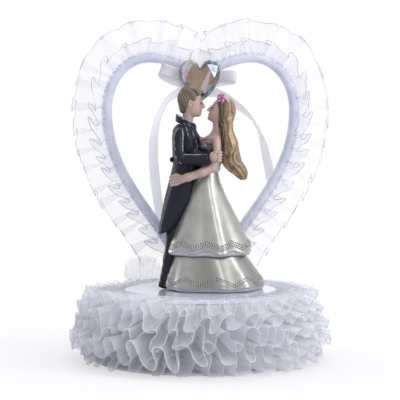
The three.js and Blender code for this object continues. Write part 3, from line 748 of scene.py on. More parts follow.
def tier_rows(edge_radius, edge_height):
    """The same for a tier that is glued to the drum."""
    down = np.linspace(0, 1, TIER_ROWS)
    root_height = edge_height + TIER_DROP
    return (
        CORE_RADIUS + (edge_radius - CORE_RADIUS) * down,
        root_height + (edge_height - root_height) * down**1.3,
        ROOT_LIFT + (TIER_LIFT - ROOT_LIFT) * down,
        0.25 + 0.75 * down**0.6,
        down,
        1.1 * (1 - down) ** 0.9,
        0 * down,
    )


print("rows of a tier:", TIER_ROWS)

# %% Base ruffles
# Radius and height of each tier's free edge.
TIER_EDGES = [(64.6, 36.0), (67.3, 28.1), (69.8, 20.2), (71.6, 12.1), (66.2, 4.6)]
TIER_SEED = 40
TIER_FLARE = 1.3
TIER_LEAN = 0.35
HALVES = 88
HALF_STEPS = 12
LOWEST = 0.5
PLATE_TOP = 38.6
PLATE_GAP = 0.15
# The flutes are boldest at the front left, where the gathering was pulled open.
BOLD_SIDE = math.radians(248)
BOLD_SPAN = math.radians(58)
LEAST_BOLD = 0.42
MORE_BOLD = 0.98


def boldness(turn):
    """How bold each half flute of a tier is, by its angle round the base."""
    angle = 2 * np.pi * (np.arange(HALVES) + 0.5) / HALVES + turn
    from_bold = (angle - BOLD_SIDE + np.pi) % (2 * np.pi) - np.pi
    return LEAST_BOLD + MORE_BOLD * np.exp(-((from_bold / BOLD_SPAN) ** 2))


def side_lean(share):
    return TIER_LEAN * np.cos(2 * np.pi * share)


edge_lines = []
for number, edge in enumerate(TIER_EDGES, 1):
    draw = np.random.default_rng(TIER_SEED + number)
    turn = draw.uniform(0, 2 * np.pi)
    bold = boldness(turn)
    place, high, half = meander(
        draw, HALVES, HALF_STEPS, spread=0.42, heights=0.4, drift=side_lean,
        weights=0.6 + 0.6 * bold, sizes=bold,
    )
    place, high, half = place[:-1], high[:-1], half[:-1]
    flat_place = np.arange(len(place)) / len(place)
    flare = (TIER_FLARE * draw.uniform(-1, 1, HALVES))[half]
    rows = top_rows(*edge) if number == 1 else tier_rows(*edge)
    radii, heights, lift, follow, grow, pleat, overlap = rows
    angle = 2 * np.pi * (flat_place[:, None] + (place - flat_place)[:, None] * follow) + turn
    angle = angle + overlaps(len(place), HALF_STEPS)[:, None] * (overlap / radii)
    radius = radii + flare[:, None] * grow**2
    drawn = gathers(len(place), HALF_STEPS)[:, None] * pleat
    floor = np.where(radii < CORE_RADIUS, PLATE_TOP + PLATE_GAP, LOWEST)
    height = np.maximum(heights + high[:, None] * lift + drawn, floor)
    grid = np.stack([radius * np.cos(angle), radius * np.sin(angle), height], -1)
    rests_on = ["base_top", "base_core"] if number == 1 else ["base_core"]
    # The top tier is a sheerer ribbon than the others, and is painted paler: painted light.
    cloth = top_organza if number == 1 else organza
    ruffle_piece("base_ruffle_" + str(number), grid, cloth, True, rests_on)
    edge_lines.append((grid[:, -1], True))

# %% [markdown]
# ## The heart
# The arch is a wire heart in a padded satin sleeve, planted in the base. Its outline is the same set of
# Bezier bends that shaped the solid, from the cleft over a lobe down to the tip.

# %% Heart outline
HEART = np.array([0, 25.0, 38.6])
HEART_BENDS = [
    [(0, 117.2), (6.96, 122.48), (17.98, 128.2), (29, 128.2)],
    [(29, 128.2), (42.38, 128.2), (52.9, 115.13), (52.9, 98.5)],
    [(52.9, 98.5), (52.9, 75.99), (43.5, 59.55), (30, 40.8)],
    [(30, 40.8), (12, 16.05), (7.2, 3.3), (0, 3.3)],
]


def half_heart(side, count):
    t = np.linspace(0, 1, 60)[:, None]
    weights = [(1 - t) ** 3, 3 * t * (1 - t) ** 2, 3 * t**2 * (1 - t), t**3]
    bends = [sum(w * np.array(p) for w, p in zip(weights, bend)) for bend in HEART_BENDS]
    line = np.vstack([bends[0], *(bend[1:] for bend in bends[1:])])
    points = np.stack([side * line[:, 0], 0 * line[:, 0], line[:, 1]], 1) + HEART
    return even(points, count)


SIDES = {"left": -1, "right": 1}
TUBE_RADIUS = 3.0
TUBE_SIDES = 20
TUBE_POINTS = 160
# Each half of the sleeve stops this far from the middle.
TUBE_GAP = 0.1
sleeve = Finish("satin_sleeve", {"Sheen Weight": 0.3, "Sheen Roughness": 0.35})
strand = (sleeve.value("along") * 4200.0 + sleeve.value("around") * 60.0).wave()
cloudy = sleeve.noise(110.0, 2.0)
# The sleeve is white satin painted greyer than the ribbon: painted shade.
sleeve.set("Base Color", sleeve.mix((0.60, 0.62, 0.74), (0.70, 0.72, 0.82), cloudy.between(0.3, 0.7)))
sleeve.set("Roughness", 0.4 + cloudy * 0.14)
sleeve.bump(cloudy * 2.0 + strand * 0.15, 0.12, 0.4)
for side, sign in SIDES.items():
    line = half_heart(sign, TUBE_POINTS)
    line[[0, -1], 0] = TUBE_GAP * sign
    mesh = grown(
        "heart_sleeve_" + side, sweep_round, line_mesh("sleeve_line", [(line, False)]),
        Radius=TUBE_RADIUS * MM, Sides=TUBE_SIDES, Finish=sleeve.material,
    )
    new_piece("heart_sleeve_" + side, mesh, "topper", ["heart_wrap_" + side])
    print("sleeve", side, "follows", round(walked(line)[-1], 1), "mm of heart")

# %% [markdown]
# ## The heart's ruffles
# Two rows are sewn along the sleeve: a short one that leans forward and a long sheer one behind it. Near the
# cleft they stand upright, where both sides crowd together. The flutes swing across the row's own face.

# %% Heart rows
ROW_STOP = 24.0
ROW_POINTS = 900
ROOT_OUT = 2.0
ROOT_SIDE = 2.2
HEART_HALVES = 34
ROW_STEPS = 9
ROW_GATHER = 0.88
CROSSING = 2.2
# The row is longest at the cleft and gets shorter away from it.
CLEFT_LENGTH = 12.5
CLEFT_FALL = 90
REACH_SPREAD = 0.8
# The sewn edge of a row is caught inside the sleeve.
HEADING = 2.9
UP = np.array([0, 0, 1.0])
TILE_LEAN = -0.75
# Where along the row its tilt is that of the cleft, of the lobe from end to end, and of the flank.
TILT_PLACES = (0, 0.12, 0.28, 0.42)
# Width, tilts in degrees at the cleft, on the lobe and along the flank, side of the root, seed, lift, finish.
ROWS = {
    "front": (7.4, (8, 26, 40), -ROOT_SIDE, 70, 2.9, soft_organza),
    "back": (18.6, (-8, -12, -20), ROOT_SIDE, 80, 3.3, sheer),
}
heart_edges = []


def lobe_at(share):
    """1 over the lobe, where the cloth is stretched, so that the flutes are long and low there."""
    return smooth(0.05, 0.12, share) * (1 - smooth(0.28, 0.40, share))


def tile_lean(share):
    """Along the flanks every flute lies over the next one like a tile."""
    return TILE_LEAN * (1 - 0.4 * lobe_at(share))


def heart_row(row, side, width, tilts, root_y, seed, lift, finish):
    sign = SIDES[side]
    draw = np.random.default_rng(seed + sign)
    line = half_heart(sign, ROW_POINTS)
    at = walked(line)
    lobe = lobe_at((np.arange(HEART_HALVES) + 0.5) / HEART_HALVES)
    place, high, half = meander(
        draw, HEART_HALVES, HALF_STEPS, overhang=1.4, lean=0.2, drift=tile_lean,
        weights=1 + 0.15 * lobe, sizes=1.05 - 0.45 * lobe,
    )
    reach_extra = (REACH_SPREAD * draw.uniform(-1, 1, HEART_HALVES))[half]
    out_share = np.concatenate([[0], np.linspace(0.001, 1, ROW_STEPS)])
    follow = 0.15 + 0.85 * out_share**0.6
    starts = np.arange(0, len(place), HALF_STEPS)
    even_place = np.interp(np.arange(len(place)), starts, place[::HALF_STEPS])
    share = np.clip(even_place[:, None] + (place - even_place)[:, None] * follow, 0, 1)
    distance = share * (at[-1] - ROW_STOP)
    pick = lambda values: np.stack([np.interp(distance, at, values[:, i]) for i in range(3)], -1)
    tangent = unit(np.gradient(line, axis=0))
    out = unit(np.stack([-sign * tangent[:, 2], 0 * tangent[:, 0], sign * tangent[:, 0]], 1))
    upright = 1 - smooth(3, 14, distance)[..., None]
    out = unit(pick(out) * (1 - upright) + UP * upright)
    cleft, middle, flank = tilts
    lean = np.radians(np.interp(share, TILT_PLACES, (cleft, middle, middle, flank)))[..., None]
    reach = out * np.cos(lean) - BACK * np.sin(lean)
    face = out * np.sin(lean) + BACK * np.cos(lean)
    root = pick(line) + out * ROOT_OUT + BACK * root_y
    long = np.maximum(width, CLEFT_LENGTH - CLEFT_FALL * share) + reach_extra[:, None] * out_share
    # On the lobe each flute ends in a shallow scallop.
    scallop = 0.9 * high + 2.0 * lobe_at(place) * np.abs(high)
    long = (long + scallop[:, None] * out_share**2) * out_share - HEADING * (out_share == 0)
    swing = high[:, None] * lift * (0.12 + 0.88 * out_share**1.2)
    drawn = gathers(len(place), HALF_STEPS)[:, None] * (ROW_GATHER * (1 - out_share) ** 1.1)
    grid = root + reach * long[..., None] + face * (swing + drawn)[..., None]
    grid[..., 0] = sign * np.maximum(sign * grid[..., 0], -CROSSING)
    name = "heart_ruffle_" + row + "_" + side
    ruffle_piece(name, grid, finish, False, ["heart_sleeve_" + side])
    heart_edges.append((grid[:, -1], False))


for side in SIDES:
    for row, facts in ROWS.items():
        heart_row(row, side, *facts)

# %% [markdown]
# ## The loose end
# Where the ruffle ends at the heart's left foot, a spare length of organza is bunched into a small puff
# behind it.

# %% Foot puff
PUFF_MIDDLE = HEART + np.array([-33, 9.96, 0.34])
PUFF_WIDE = 11.2
PUFF_TALL = 14.8
PUFF_FOOT = 39.7
PUFF_START = np.radians(14)
PUFF_SPAN = np.radians(152)
PUFF_HALVES = 9
PUFF_ROWS = 12
PUFF_SEED = 9
PUFF_GATHER = 0.95
PUFF_BULGE = 3.4
draw = np.random.default_rng(PUFF_SEED)
place, high, _ = meander(draw, PUFF_HALVES, 2 * HALF_STEPS, overhang=1.9, spread=0.25, heights=0.2, lean=0.3)
puff_share = np.linspace(0, 1, PUFF_ROWS)
flat_place = np.linspace(0, 1, len(place))
share = np.clip(flat_place[:, None] + (place - flat_place)[:, None] * (0.3 + 0.7 * puff_share), 0, 1)
angle = PUFF_START + share * PUFF_SPAN
full = (np.abs(np.cos(angle) / PUFF_WIDE) ** 3 + np.abs(np.sin(angle) / PUFF_TALL) ** 3) ** (-1 / 3)
# The bunch is broad at its foot, so its folds stand almost upright.
risen = np.sin(0.5 * np.pi * puff_share) ** 0.9
spread_out = 0.62 + 0.38 * risen
drawn = gathers(len(place), HALF_STEPS)[:, None] * (PUFF_GATHER * (1 - puff_share) ** 0.6)
swing = high[:, None] * (0.5 + 2.6 * puff_share**0.7) + drawn
swing = swing - PUFF_BULGE * np.sin(np.pi * puff_share**1.2)
puff = np.stack([spread_out * full * np.cos(angle), swing, risen * full * np.sin(angle)], -1)
puff = puff + PUFF_MIDDLE
puff[..., 2] = np.maximum(puff[..., 2], PUFF_FOOT)
ruffle_piece("foot_puff", puff, soft_organza, False, ["organza_base_ruffle_1"])

# %% Edge threads
THREADS = {"base_threads": (edge_lines, 0.16, thread), "heart_threads": (heart_edges, 0.15, shaded_thread)}
THREAD_SIDES = 6
for name, (lines, radius, finish) in THREADS.items():
    mesh = grown(
        name, sweep_round, line_mesh(name + "_lines", lines),
        Radius=radius * MM, Sides=THREAD_SIDES, Finish=finish.material,
    )
    new_piece(name, mesh, "topper")
    print(name, "on", len(lines), "edges,", len(mesh.polygons), "faces")

# %% [markdown]
# ## The bow
# A satin bow hides the cleft. Each loop is one ribbon that runs out behind the gem, turns and comes back
# lower, so its inside shows. The knot is a band pulled tight round the middle, creased where it is squeezed.

# %% Bow loops and knot
# Each loop's route out and back, and the direction of the ribbon's width.
LOOPS = {
    "left": (
        [(-5.1, -2.0, 1.0), (-11.6, -2.4, 2.4), (-17.8, -3.8, 4.8), (-21.3, -3.6, 6.0), (-22.8, -2.0, 5.6),
         (-20.8, -0.8, 3.1), (-12.5, -0.5, -0.8), (-5.1, -0.5, -2.6)],
        (0.36, 0, 0.93),
    ),
    "right": (
        [(5.1, -2.0, 1.6), (10.6, -2.3, 2.0), (16.0, -3.2, 2.2), (18.6, -3.0, 2.1), (19.8, -1.8, 1.5),
         (18.4, -0.8, 0.7), (11.0, -0.5, -0.6), (5.1, -0.5, -1.8)],
        (0.0, 0, 1.0),
    ),
}
LOOP_POINTS = 56
LOOP_THICKNESS = 0.3
LOOP_CROWN = 0.3
for side, (route, width_way) in LOOPS.items():
    path = through(np.array(route) + BOW, LOOP_POINTS)
    across = np.tile(unit(np.array(width_way)), (len(path), 1))
    mesh = ribbon_mesh(
        "loop_" + side, path, across, shaded_loop_satin, RIBBON_WIDTH, LOOP_THICKNESS, crown=LOOP_CROWN,
    )
    new_piece("loop_" + side, mesh, "topper", ["bow_loop_" + side])

KNOT_SIDES = 40
KNOT_LOOPS = 17
KNOT_HALF = 4
KNOT_DEEP = 1.4
KNOT_TALL = 2.5
KNOT_SQUARE = 0.6
angle = np.linspace(0, 2 * np.pi, KNOT_SIDES, endpoint=False)
loops = []
for x in np.linspace(-KNOT_HALF, KNOT_HALF, KNOT_LOOPS):
    pinch = 1 - 0.12 * math.cos(x * 0.9)
    crease = 1 + 0.05 * np.sin(x * 3.1 + 2 * np.sin(angle))
    y = -KNOT_DEEP + KNOT_DEEP * pinch * crease * bent(np.cos(angle), KNOT_SQUARE)
    z = KNOT_TALL * pinch * crease * bent(np.sin(angle), KNOT_SQUARE)
    loops.append(np.stack([np.full(KNOT_SIDES, x), y, z], 1) + BOW)
mesh = outward(mesh_of("knot", np.array(loops), shell_faces(len(loops), KNOT_SIDES), satin))
around = np.tile(np.linspace(-3, 3, KNOT_SIDES), len(loops))
lay_points(mesh, around, np.repeat(np.linspace(-2.4, 2.4, len(loops)), KNOT_SIDES))
new_piece("knot", mesh, "topper", ["bow_knot"])
print("bow of two loops and a knot")

# %% [markdown]
# ## The gem
# A mirrored acrylic heart is glued on the knot. It is cut like a stone: a thin silver rim, a crown of
# triangles and a flat table. A mirror has little colour of its own. What shows is the room, so each facet
# is painted with a reflection: the tone of the room that it faces, tan in the middle, pale above, slate
# below.

# %% Gem
GEM_WIDTH = 22.4
GEM_HEIGHT = 23.4
GEM_BACK = -3.1
GEM_SHIFT = -0.3
GEM_TABLE = 6.0
GEM_CUTS = 14
# Scale and depth of the rings of the silver rim, from the back.
GEM_RIM = [(0.95, 0), (1.0, 0.7), (1.0, 1.7), (0.955, 2.4)]


def gem_ring(scale, depth, count, shift=0.0):
    """A heart in the plane of the arch: a deep cleft above, full sides below."""
    t = 2 * np.pi * (np.arange(count) + shift) / count
    fullness = 3 - 1.7 * smooth(0.25 * np.pi, 0.75 * np.pi, np.minimum(t, 2 * np.pi - t))
    x = bent(np.sin(t), fullness)
    z = (13 * np.cos(t) - 5 * np.cos(2 * t) - 2 * np.cos(3 * t) - np.cos(4 * t)) / 29
    ring = np.stack([x * GEM_WIDTH / 2, 0 * t, (z + 0.06) * GEM_HEIGHT], 1) * scale
    return ring + (GEM_SHIFT, GEM_BACK - depth, 0) + BOW


n = GEM_CUTS
rings = [gem_ring(scale, depth, 2 * n) for scale, depth in GEM_RIM]
rings += [gem_ring(0.82, 4.3, n, 0.5), gem_ring(0.7, GEM_TABLE, n)]
# Every second corner of the table is cut back, so that its outline is a star.
table_middle = np.array([GEM_SHIFT, GEM_BACK - GEM_TABLE, 0]) + BOW
star = np.where(np.arange(n) % 2, 0.84, 1.08)[:, None]
rings[-1] = table_middle + (rings[-1] - table_middle) * star
first = np.cumsum([0] + [len(ring) for ring in rings])
faces = [np.arange(2 * n)[::-1]]
for level in range(3):
    faces.extend(round_faces(2, 2 * n) + first[level])
a, b, c = first[3], first[4], first[5]
for k in range(n):
    nxt = (k + 1) % n
    far = a + (2 * k + 2) % (2 * n)
    faces += [(a + 2 * k, a + 2 * k + 1, b + k), (a + 2 * k + 1, far, b + k), (far, b + nxt, b + k)]
    faces += [(b + k, c + nxt, c + k), (b + k, b + nxt, c + nxt)]
faces.append(np.arange(n) + c)

# %% Gem finish
# The tones of painted reflection that the crown shows round the table, at angles from the right, against the
# clock.
REFLECTED_TONES = [
    (0, 0.46), (18, 0.44), (28, 0.28), (52, 0.28), (60, 0.10), (74, 0.08), (86, 0.70), (100, 0.62),
    (112, 0.45), (122, 0.33), (130, 0.80), (142, 0.85), (158, 0.84), (180, 0.84), (192, 0.26), (217, 0.20),
    (232, 0.16), (255, 0.35), (275, 0.48), (288, 0.20), (298, 0.33), (312, 0.33), (326, 0.42), (342, 0.40),
    (360, 0.50),
]
RIM_TONE = 0.24
TABLE_TONE = 0.47
GEM_SEED = 6
# The colours of the room, from its darkest tone to its lightest.
ROOM = [
    (0.0, (0.03, 0.04, 0.07)), (0.25, (0.165, 0.188, 0.215)), (0.33, (0.29, 0.34, 0.37)),
    (0.42, (0.26, 0.19, 0.14)), (0.55, (0.36, 0.28, 0.23)), (0.7, (0.46, 0.31, 0.37)),
    (0.82, (0.46, 0.46, 0.48)), (1.0, (0.62, 0.63, 0.66)),
]
# A painted pink reflection of the bride's flower lies on the gem's left lobe.
REFLECTED_PINK = (0.50, 0.27, 0.38)
REFLECTED_PINK_SPOT = (-7.8, 3.4)
REFLECTED_PINK_SPREAD = (0.8, 0.42)
STREAK_SIDE = 3.4
STREAK_FLARE = 0.11
STREAK_EDGE = (0.8, 1.4)
GEM_LEVEL = 154.5
PER_METRE = 1 / MM
gem = Finish("mirrored_gem", {"Metallic": 1.0})
cloud = gem.noise(210.0, 1.5, gem.stretched((1, 0.2, 0.5), (0, 0.5, 0)))
across = gem.add("ShaderNodeSeparateXYZ", {}, {0: gem.place()})
height = (across.other("Z") - GEM_LEVEL * MM) * PER_METRE
slant = across * (0.93 * PER_METRE) - height * 0.34 - STREAK_SIDE
# A pale reflection crosses the table and widens downwards.
streak = 1 - (abs(slant) + height * STREAK_FLARE).between(*STREAK_EDGE)
facet_tone = gem.value("facet") + (cloud - 0.5) * 0.25 + streak * gem.value("table") * 0.3
tones = gem.add("ShaderNodeValToRGB", {"stops": ROOM}, {"Fac": facet_tone})
# The painted pink reflection on the left lobe.
off_x = (across * PER_METRE - REFLECTED_PINK_SPOT[0]) * REFLECTED_PINK_SPREAD[0]
off_z = (height - REFLECTED_PINK_SPOT[1]) * REFLECTED_PINK_SPREAD[1]
pink_reflection = 1 - (off_x * off_x + off_z * off_z).between(0.5, 1.2)
gem.set("Base Color", gem.mix(tones, REFLECTED_PINK, pink_reflection * 0.8))
gem.set("Roughness", 0.3 - gem.value("table") * 0.2 + cloud * 0.06)

mesh = outward(mesh_of("gem", np.vstack(rings), faces, gem, smoothed=False))
centres = np.array([p.center for p in mesh.polygons]) / MM - BOW
draw = np.random.default_rng(GEM_SEED)
angle = np.degrees(np.arctan2(centres[:, 2], centres[:, 0])) % 360
tone = np.interp(angle, *np.array(REFLECTED_TONES).T) + 0.05 * draw.uniform(-1, 1, len(centres))
# The rim's facets come first and the table comes last.
tone[: 6 * n + 1] = RIM_TONE
tone[-1] = TABLE_TONE
is_table = np.zeros(len(centres))
is_table[-1] = 1
keep_value(mesh, "facet", np.clip(tone, 0.02, 0.98), "FACE")
keep_value(mesh, "table", is_table, "FACE")
new_piece("gem", mesh, "topper", ["heart_gem"])
print("gem with", len(mesh.polygons), "facets")

# %% [markdown]
# ## Casting the couple
# The couple is one resin casting, painted by hand. Soft cast forms have no straight edges to build from, so
# each piece is described as a field: a number that is negative inside and positive outside. Fields melt into
# each other like clay. A net of points is then stretched over the place where the field is zero.

# %% Clay
def ball(p, middle, radii):
    q = p - np.asarray(middle, float)
    r = np.asarray(radii, float)
    near = np.linalg.norm(q / r, axis=-1)
    return near * (near - 1) / np.maximum(np.linalg.norm(q / r**2, axis=-1), 1e-9)


def melt(a, b, soft):
    """Two pieces of clay pressed together, with a fillet of that size."""
    h = np.clip(0.5 + 0.5 * (b - a) / soft, 0, 1)
    return b + (a - b) * h - soft * h * (1 - h)


def dig(a, b, soft):
    """Clay a with b dug out of it."""
    return -melt(-a, b, soft)


def limb(p, stations, soft=0.5):
    """A round rod through stations of x, y, z and radius."""
    best = None
    for a, b in zip(stations[:-1], stations[1:]):
        a, b = np.asarray(a, float), np.asarray(b, float)
        run = b[:3] - a[:3]
        share = np.clip((p - a[:3]) @ run / (run @ run), 0, 1)
        d = np.linalg.norm(p - a[:3] - share[..., None] * run, axis=-1) - (a[3] + (b[3] - a[3]) * share)
        best = d if best is None else melt(best, d, soft)
    return best


def both(p):
    """The same points with the far half folded onto the near half, for things that come in pairs."""
    return np.stack([p[..., 0], np.abs(p[..., 1]), p[..., 2]], -1)


def stack(p, levels, soft=0.8):
    """Ellipses on top of each other: middle x, height, half width and half depth."""
    x, z, a, b = np.array(levels, float).T
    order = np.argsort(z)
    at = lambda values: np.interp(p[..., 2], z[order], values[order])
    wide, deep = at(a), at(b)
    near = np.sqrt(((p[..., 0] - at(x)) / wide) ** 2 + (p[..., 1] / deep) ** 2)
    side = (near - 1) * np.minimum(wide, deep)
    ends = np.maximum(z.min() - p[..., 2], p[..., 2] - z.max())
    return dig(side, -ends, soft)


def net(field, low, high, step):
    """Points and quads stretched over the zero of a field."""
    axes = [np.arange(a, b + step, step) for a, b in zip(low, high)]
    d = field(np.stack(np.meshgrid(*axes, indexing="ij"), -1))
    cells = tuple(n - 1 for n in d.shape)
    total = np.zeros(cells + (3,))
    hits = np.zeros(cells)
    pick = lambda s: d[s[0] : s[0] + cells[0], s[1] : s[1] + cells[1], s[2] : s[2] + cells[2]]
    for axis in range(3):
        for u, v in ((0, 0), (0, 1), (1, 0), (1, 1)):
            start = [u, v]
            start.insert(axis, 0)
            end = list(start)
            end[axis] = 1
            d0, d1 = pick(start), pick(end)
            crossed = (d0 < 0) != (d1 < 0)
            share = np.where(crossed, d0 / np.where(crossed, d0 - d1, 1), 0)
            for i in range(3):
                total[..., i] += crossed * (start[i] + (share if i == axis else 0))
            hits += crossed
    used = hits > 0
    index = np.full(cells, -1)
    index[used] = np.arange(used.sum())
    points = np.asarray(low, float) + step * (np.argwhere(used) + total[used] / hits[used][:, None])
    quads = []
    for axis in range(3):
        u, v = np.eye(3, dtype=int)[[i for i in range(3) if i != axis]]
        inner = [slice(1, -1)] * 3
        inner[axis] = slice(0, -1)
        upper = list(inner)
        upper[axis] = slice(1, None)
        d0, d1 = d[tuple(inner)], d[tuple(upper)]
        crossed = (d0 < 0) != (d1 < 0)
        at = np.argwhere(crossed) + u + v
        quad = np.stack([index[tuple((at - s).T)] for s in (0 * u, u, u + v, v)], 1)
        flip = (d0[crossed] > 0) ^ (axis == 1)
        quad[flip] = quad[flip][:, ::-1]
        quads.append(quad)
    return points, np.vstack(quads)


def ridges(points, quads, step):
    """How sharply a cast surface bends at each point: above 0 on edges, below 0 in grooves."""
    i = np.concatenate([quads[:, k] for k in range(4)] + [quads[:, (k + 1) % 4] for k in range(4)])
    j = np.concatenate([quads[:, (k + 1) % 4] for k in range(4)] + [quads[:, k] for k in range(4)])
    n = len(points)
    count = np.maximum(np.bincount(i, minlength=n), 1)
    mean = lambda values: np.bincount(i, values[j], n) / count
    normal = np.cross(points[quads[:, 2]] - points[quads[:, 0]], points[quads[:, 3]] - points[quads[:, 1]])
    summed = np.zeros((n, 3))
    for k in range(4):
        for axis in range(3):
            summed[:, axis] += np.bincount(quads[:, k], normal[:, axis], n)
    summed = unit(summed)
    pulled = np.stack([mean(points[:, axis]) for axis in range(3)], 1) - points
    bend = -(pulled * summed).sum(1) * 2 / step**2
    for _ in range(2):
        bend = 0.5 * bend + 0.5 * mean(bend)
    return np.clip(bend, -2, 2)


COUPLE = np.array([0, 0, 38.9])


def cast(name, field, low, high, step, finish, trim=None, lock=None, wash=None):
    """One painted piece of the couple, which stands for the solid of the same name."""
    points, quads = net(field, low, high, step)
    mesh = mesh_of("cast_" + name, points + COUPLE, quads, finish)
    keep_value(mesh, "ridge", ridges(points, quads, step) - (wash(points) if wash else 0))
    for kept, rule in {"trim": trim, "lock": lock}.items():
        if rule:
            keep_value(mesh, kept, rule(points))
    new_piece("cast_" + name, mesh, "topper", [name])
    print(name, "has", len(quads), "faces")
    return mesh, points


print("clay helpers are ready")

# %% [markdown]
# ## Paints
# Painted resin shows the brush. Edges catch a lighter dry brush, and a darker wash stays in the grooves. The
# casting kept how sharply it bends at each point, and where its raised trims run, so every paint lightens or
# darkens by them.

# %% Paints for the couple
# Scales of the brush marks, of the blotches and of the breaks in a dry-brushed line.
BRUSH = 900.0
BLOTCHES = 190.0
BREAKS = 230.0
HAIR_BRUSH = 800.0
BLOTCH_SHADE = 0.86


def paint(name, body, wash, light, roughness, constants, light_at=(0.35, 1.0), depth=0.05):
    coat = Finish(name, constants)
    ridge = coat.value("ridge")
    brushed = coat.noise(BRUSH, 3.0)
    blotch = coat.noise(BLOTCHES, 2.0)
    colour = coat.mix(body, [BLOTCH_SHADE * c for c in body], blotch.between(0.35, 0.7))
    colour = coat.mix(colour, wash, (ridge * -1.0).between(0.05, 0.5))
    lit = (ridge + (brushed - 0.5) * 0.5).between(*light_at)
    broken = coat.noise(BREAKS, 1.0).between(0.3, 0.55) * 0.75 + 0.25
    trim = (coat.value("trim") * (0.45 + brushed) * broken).between(0.3, 0.8)
    colour = coat.mix(colour, light, lit.largest(trim))
    coat.set("Base Color", colour)
    coat.set("Roughness", roughness + (blotch - 0.5) * 0.1)
    coat.bump(brushed, depth, 0.35)
    coat.colour = colour
    return coat


def hair_paint(name, groove, strand, crest):
    coat = Finish(name, {"Coat Weight": 0.15, "Coat Roughness": 0.3})
    brushed = coat.noise(HAIR_BRUSH, 3.0)
    tone = coat.value("lock") + (brushed - 0.5) * 0.3
    colour = coat.mix(groove, strand, tone.between(0.15, 0.55))
    coat.set("Base Color", coat.mix(colour, crest, tone.between(0.6, 0.95)))
    coat.set("Roughness", 0.55 - tone * 0.15)
    coat.bump(brushed, 0.05, 0.4)
    return coat


SATIN_COAT = {"Coat Weight": 0.1, "Coat Roughness": 0.3}
BLACK_GLOSS = {"Specular IOR Level": 0.24, "Coat Weight": 0.0}
PEARL_GLOSS = {"Metallic": 0.55, "Coat Weight": 0.6, "Coat Roughness": 0.18}
PEARL_LIGHT = (0.42, 0.43, 0.46)
PEARL_BRUSH = {"light_at": (0.5, 1.2), "depth": 0.02}
skin = paint(
    "skin_paint", (0.49, 0.345, 0.305), (0.21, 0.125, 0.107), (0.57, 0.43, 0.385), 0.5, SATIN_COAT,
)
brown = hair_paint("brown_hair_paint", (0.022, 0.014, 0.011), (0.10, 0.068, 0.05), (0.34, 0.25, 0.165))
golden = hair_paint("golden_hair_paint", (0.05, 0.03, 0.017), (0.23, 0.15, 0.084), (0.52, 0.395, 0.245))
black = paint(
    "black_paint", (0.009, 0.010, 0.020), (0.004, 0.004, 0.008), (0.38, 0.39, 0.45), 0.36, BLACK_GLOSS,
    light_at=(0.7, 1.3),
)
pink = paint("pink_paint", (0.52, 0.19, 0.36), (0.13, 0.02, 0.07), (0.72, 0.40, 0.57), 0.45, SATIN_COAT)
pearl = paint(
    "pearl_paint", (0.37, 0.367, 0.35), (0.17, 0.167, 0.158), PEARL_LIGHT, 0.34, PEARL_GLOSS, **PEARL_BRUSH,
)
shaded_pearl = paint(
    "shaded_pearl_paint", (0.33, 0.33, 0.32), (0.06, 0.06, 0.063), PEARL_LIGHT, 0.36, PEARL_GLOSS,
    **PEARL_BRUSH,
)
print("paints are ready")

# %% [markdown]
# ## Heads
# Both faces are plain and calm, drawn from the drawing-school head: eyes half way up, the nose a third below
# them, closed lips, a small chin. One head is described in its own frame, forward, sideways and up, and is
# turned to where each figure looks. The face paint is kept as numbers at the points, so that it stays on the
# mesh.

# %% One plain head
def head_frame(p, middle, facing, nod):
    q = p - np.asarray(middle, float)
    ahead = np.array([facing * math.cos(nod), 0, -math.sin(nod)])
    above = np.array([facing * math.sin(nod), 0, math.cos(nod)])
    return np.stack([q @ ahead, np.abs(q[..., 1]), q @ above], -1)


SKULL = (-0.9, 0, 1.3)
SKULL_RADII = (5.8, 5.3, 6.6)


def plain_head(q, jaw, ears):
    d = melt(ball(q, SKULL, SKULL_RADII), ball(q, (1.3, 0, -2.7), (4.5 * jaw, 4.2 * jaw, 5.0)), 1.8)
    d = melt(d, ball(q, (4.1, 0, -5.9), (1.4, 1.7 * jaw, 1.2)), 1.4)
    d = melt(d, limb(q, [(5.1, 0, 1.2, 0.5), (6.0, 0, -0.4, 0.6), (6.5, 0, -1.5, 0.75)]), 0.9)
    d = melt(d, ball(q, (5.7, 0.75, -1.75), (0.6, 0.5, 0.5)), 0.4)
    d = dig(d, ball(q, (6.0, 2.2, 0.25), (1.3, 1.5, 0.75)), 0.8)
    d = melt(d, ball(q, (3.75, 2.1, 0.2), (1.15, 1.2, 0.85)), 0.25)
    d = melt(d, limb(q, [(5.35, 0, -3.35, 0.42), (4.55, 1.35, -3.6, 0.22)]), 0.3)
    d = melt(d, limb(q, [(5.15, 0, -4.2, 0.48), (4.5, 1.2, -4.0, 0.25)]), 0.3)
    if ears:
        d = melt(d, ball(q, (-1.0, 5.5, -0.5), (1.35, 0.9, 2.1)), 0.3)
        d = dig(d, ball(q, (-0.6, 6.5, -0.2), (0.6, 0.7, 1.2)), 0.3)
    return d


def face_paint(mesh, points, middle, facing, nod):
    f, y, u = head_frame(points, middle, facing, nod).T
    spot = lambda a, b, da, db: 1 - smooth(0.6, 1.1, np.hypot((y - a) / da, (u - b) / db))
    ahead = smooth(2.6, 3.4, f)
    keep_value(mesh, "eye", ahead * np.maximum(spot(2.2, 0.15, 0.85, 0.6), spot(2.3, 0.65, 1.3, 0.28)))
    keep_value(mesh, "brow", ahead * spot(2.3, 1.85, 1.4, 0.32))
    keep_value(mesh, "lip", smooth(3.6, 4.2, f) * spot(0, -3.8, 1.6, 0.95))
    keep_value(mesh, "blush", smooth(0.5, 2.0, f) * spot(3.4, -1.9, 2.6, 2.2))


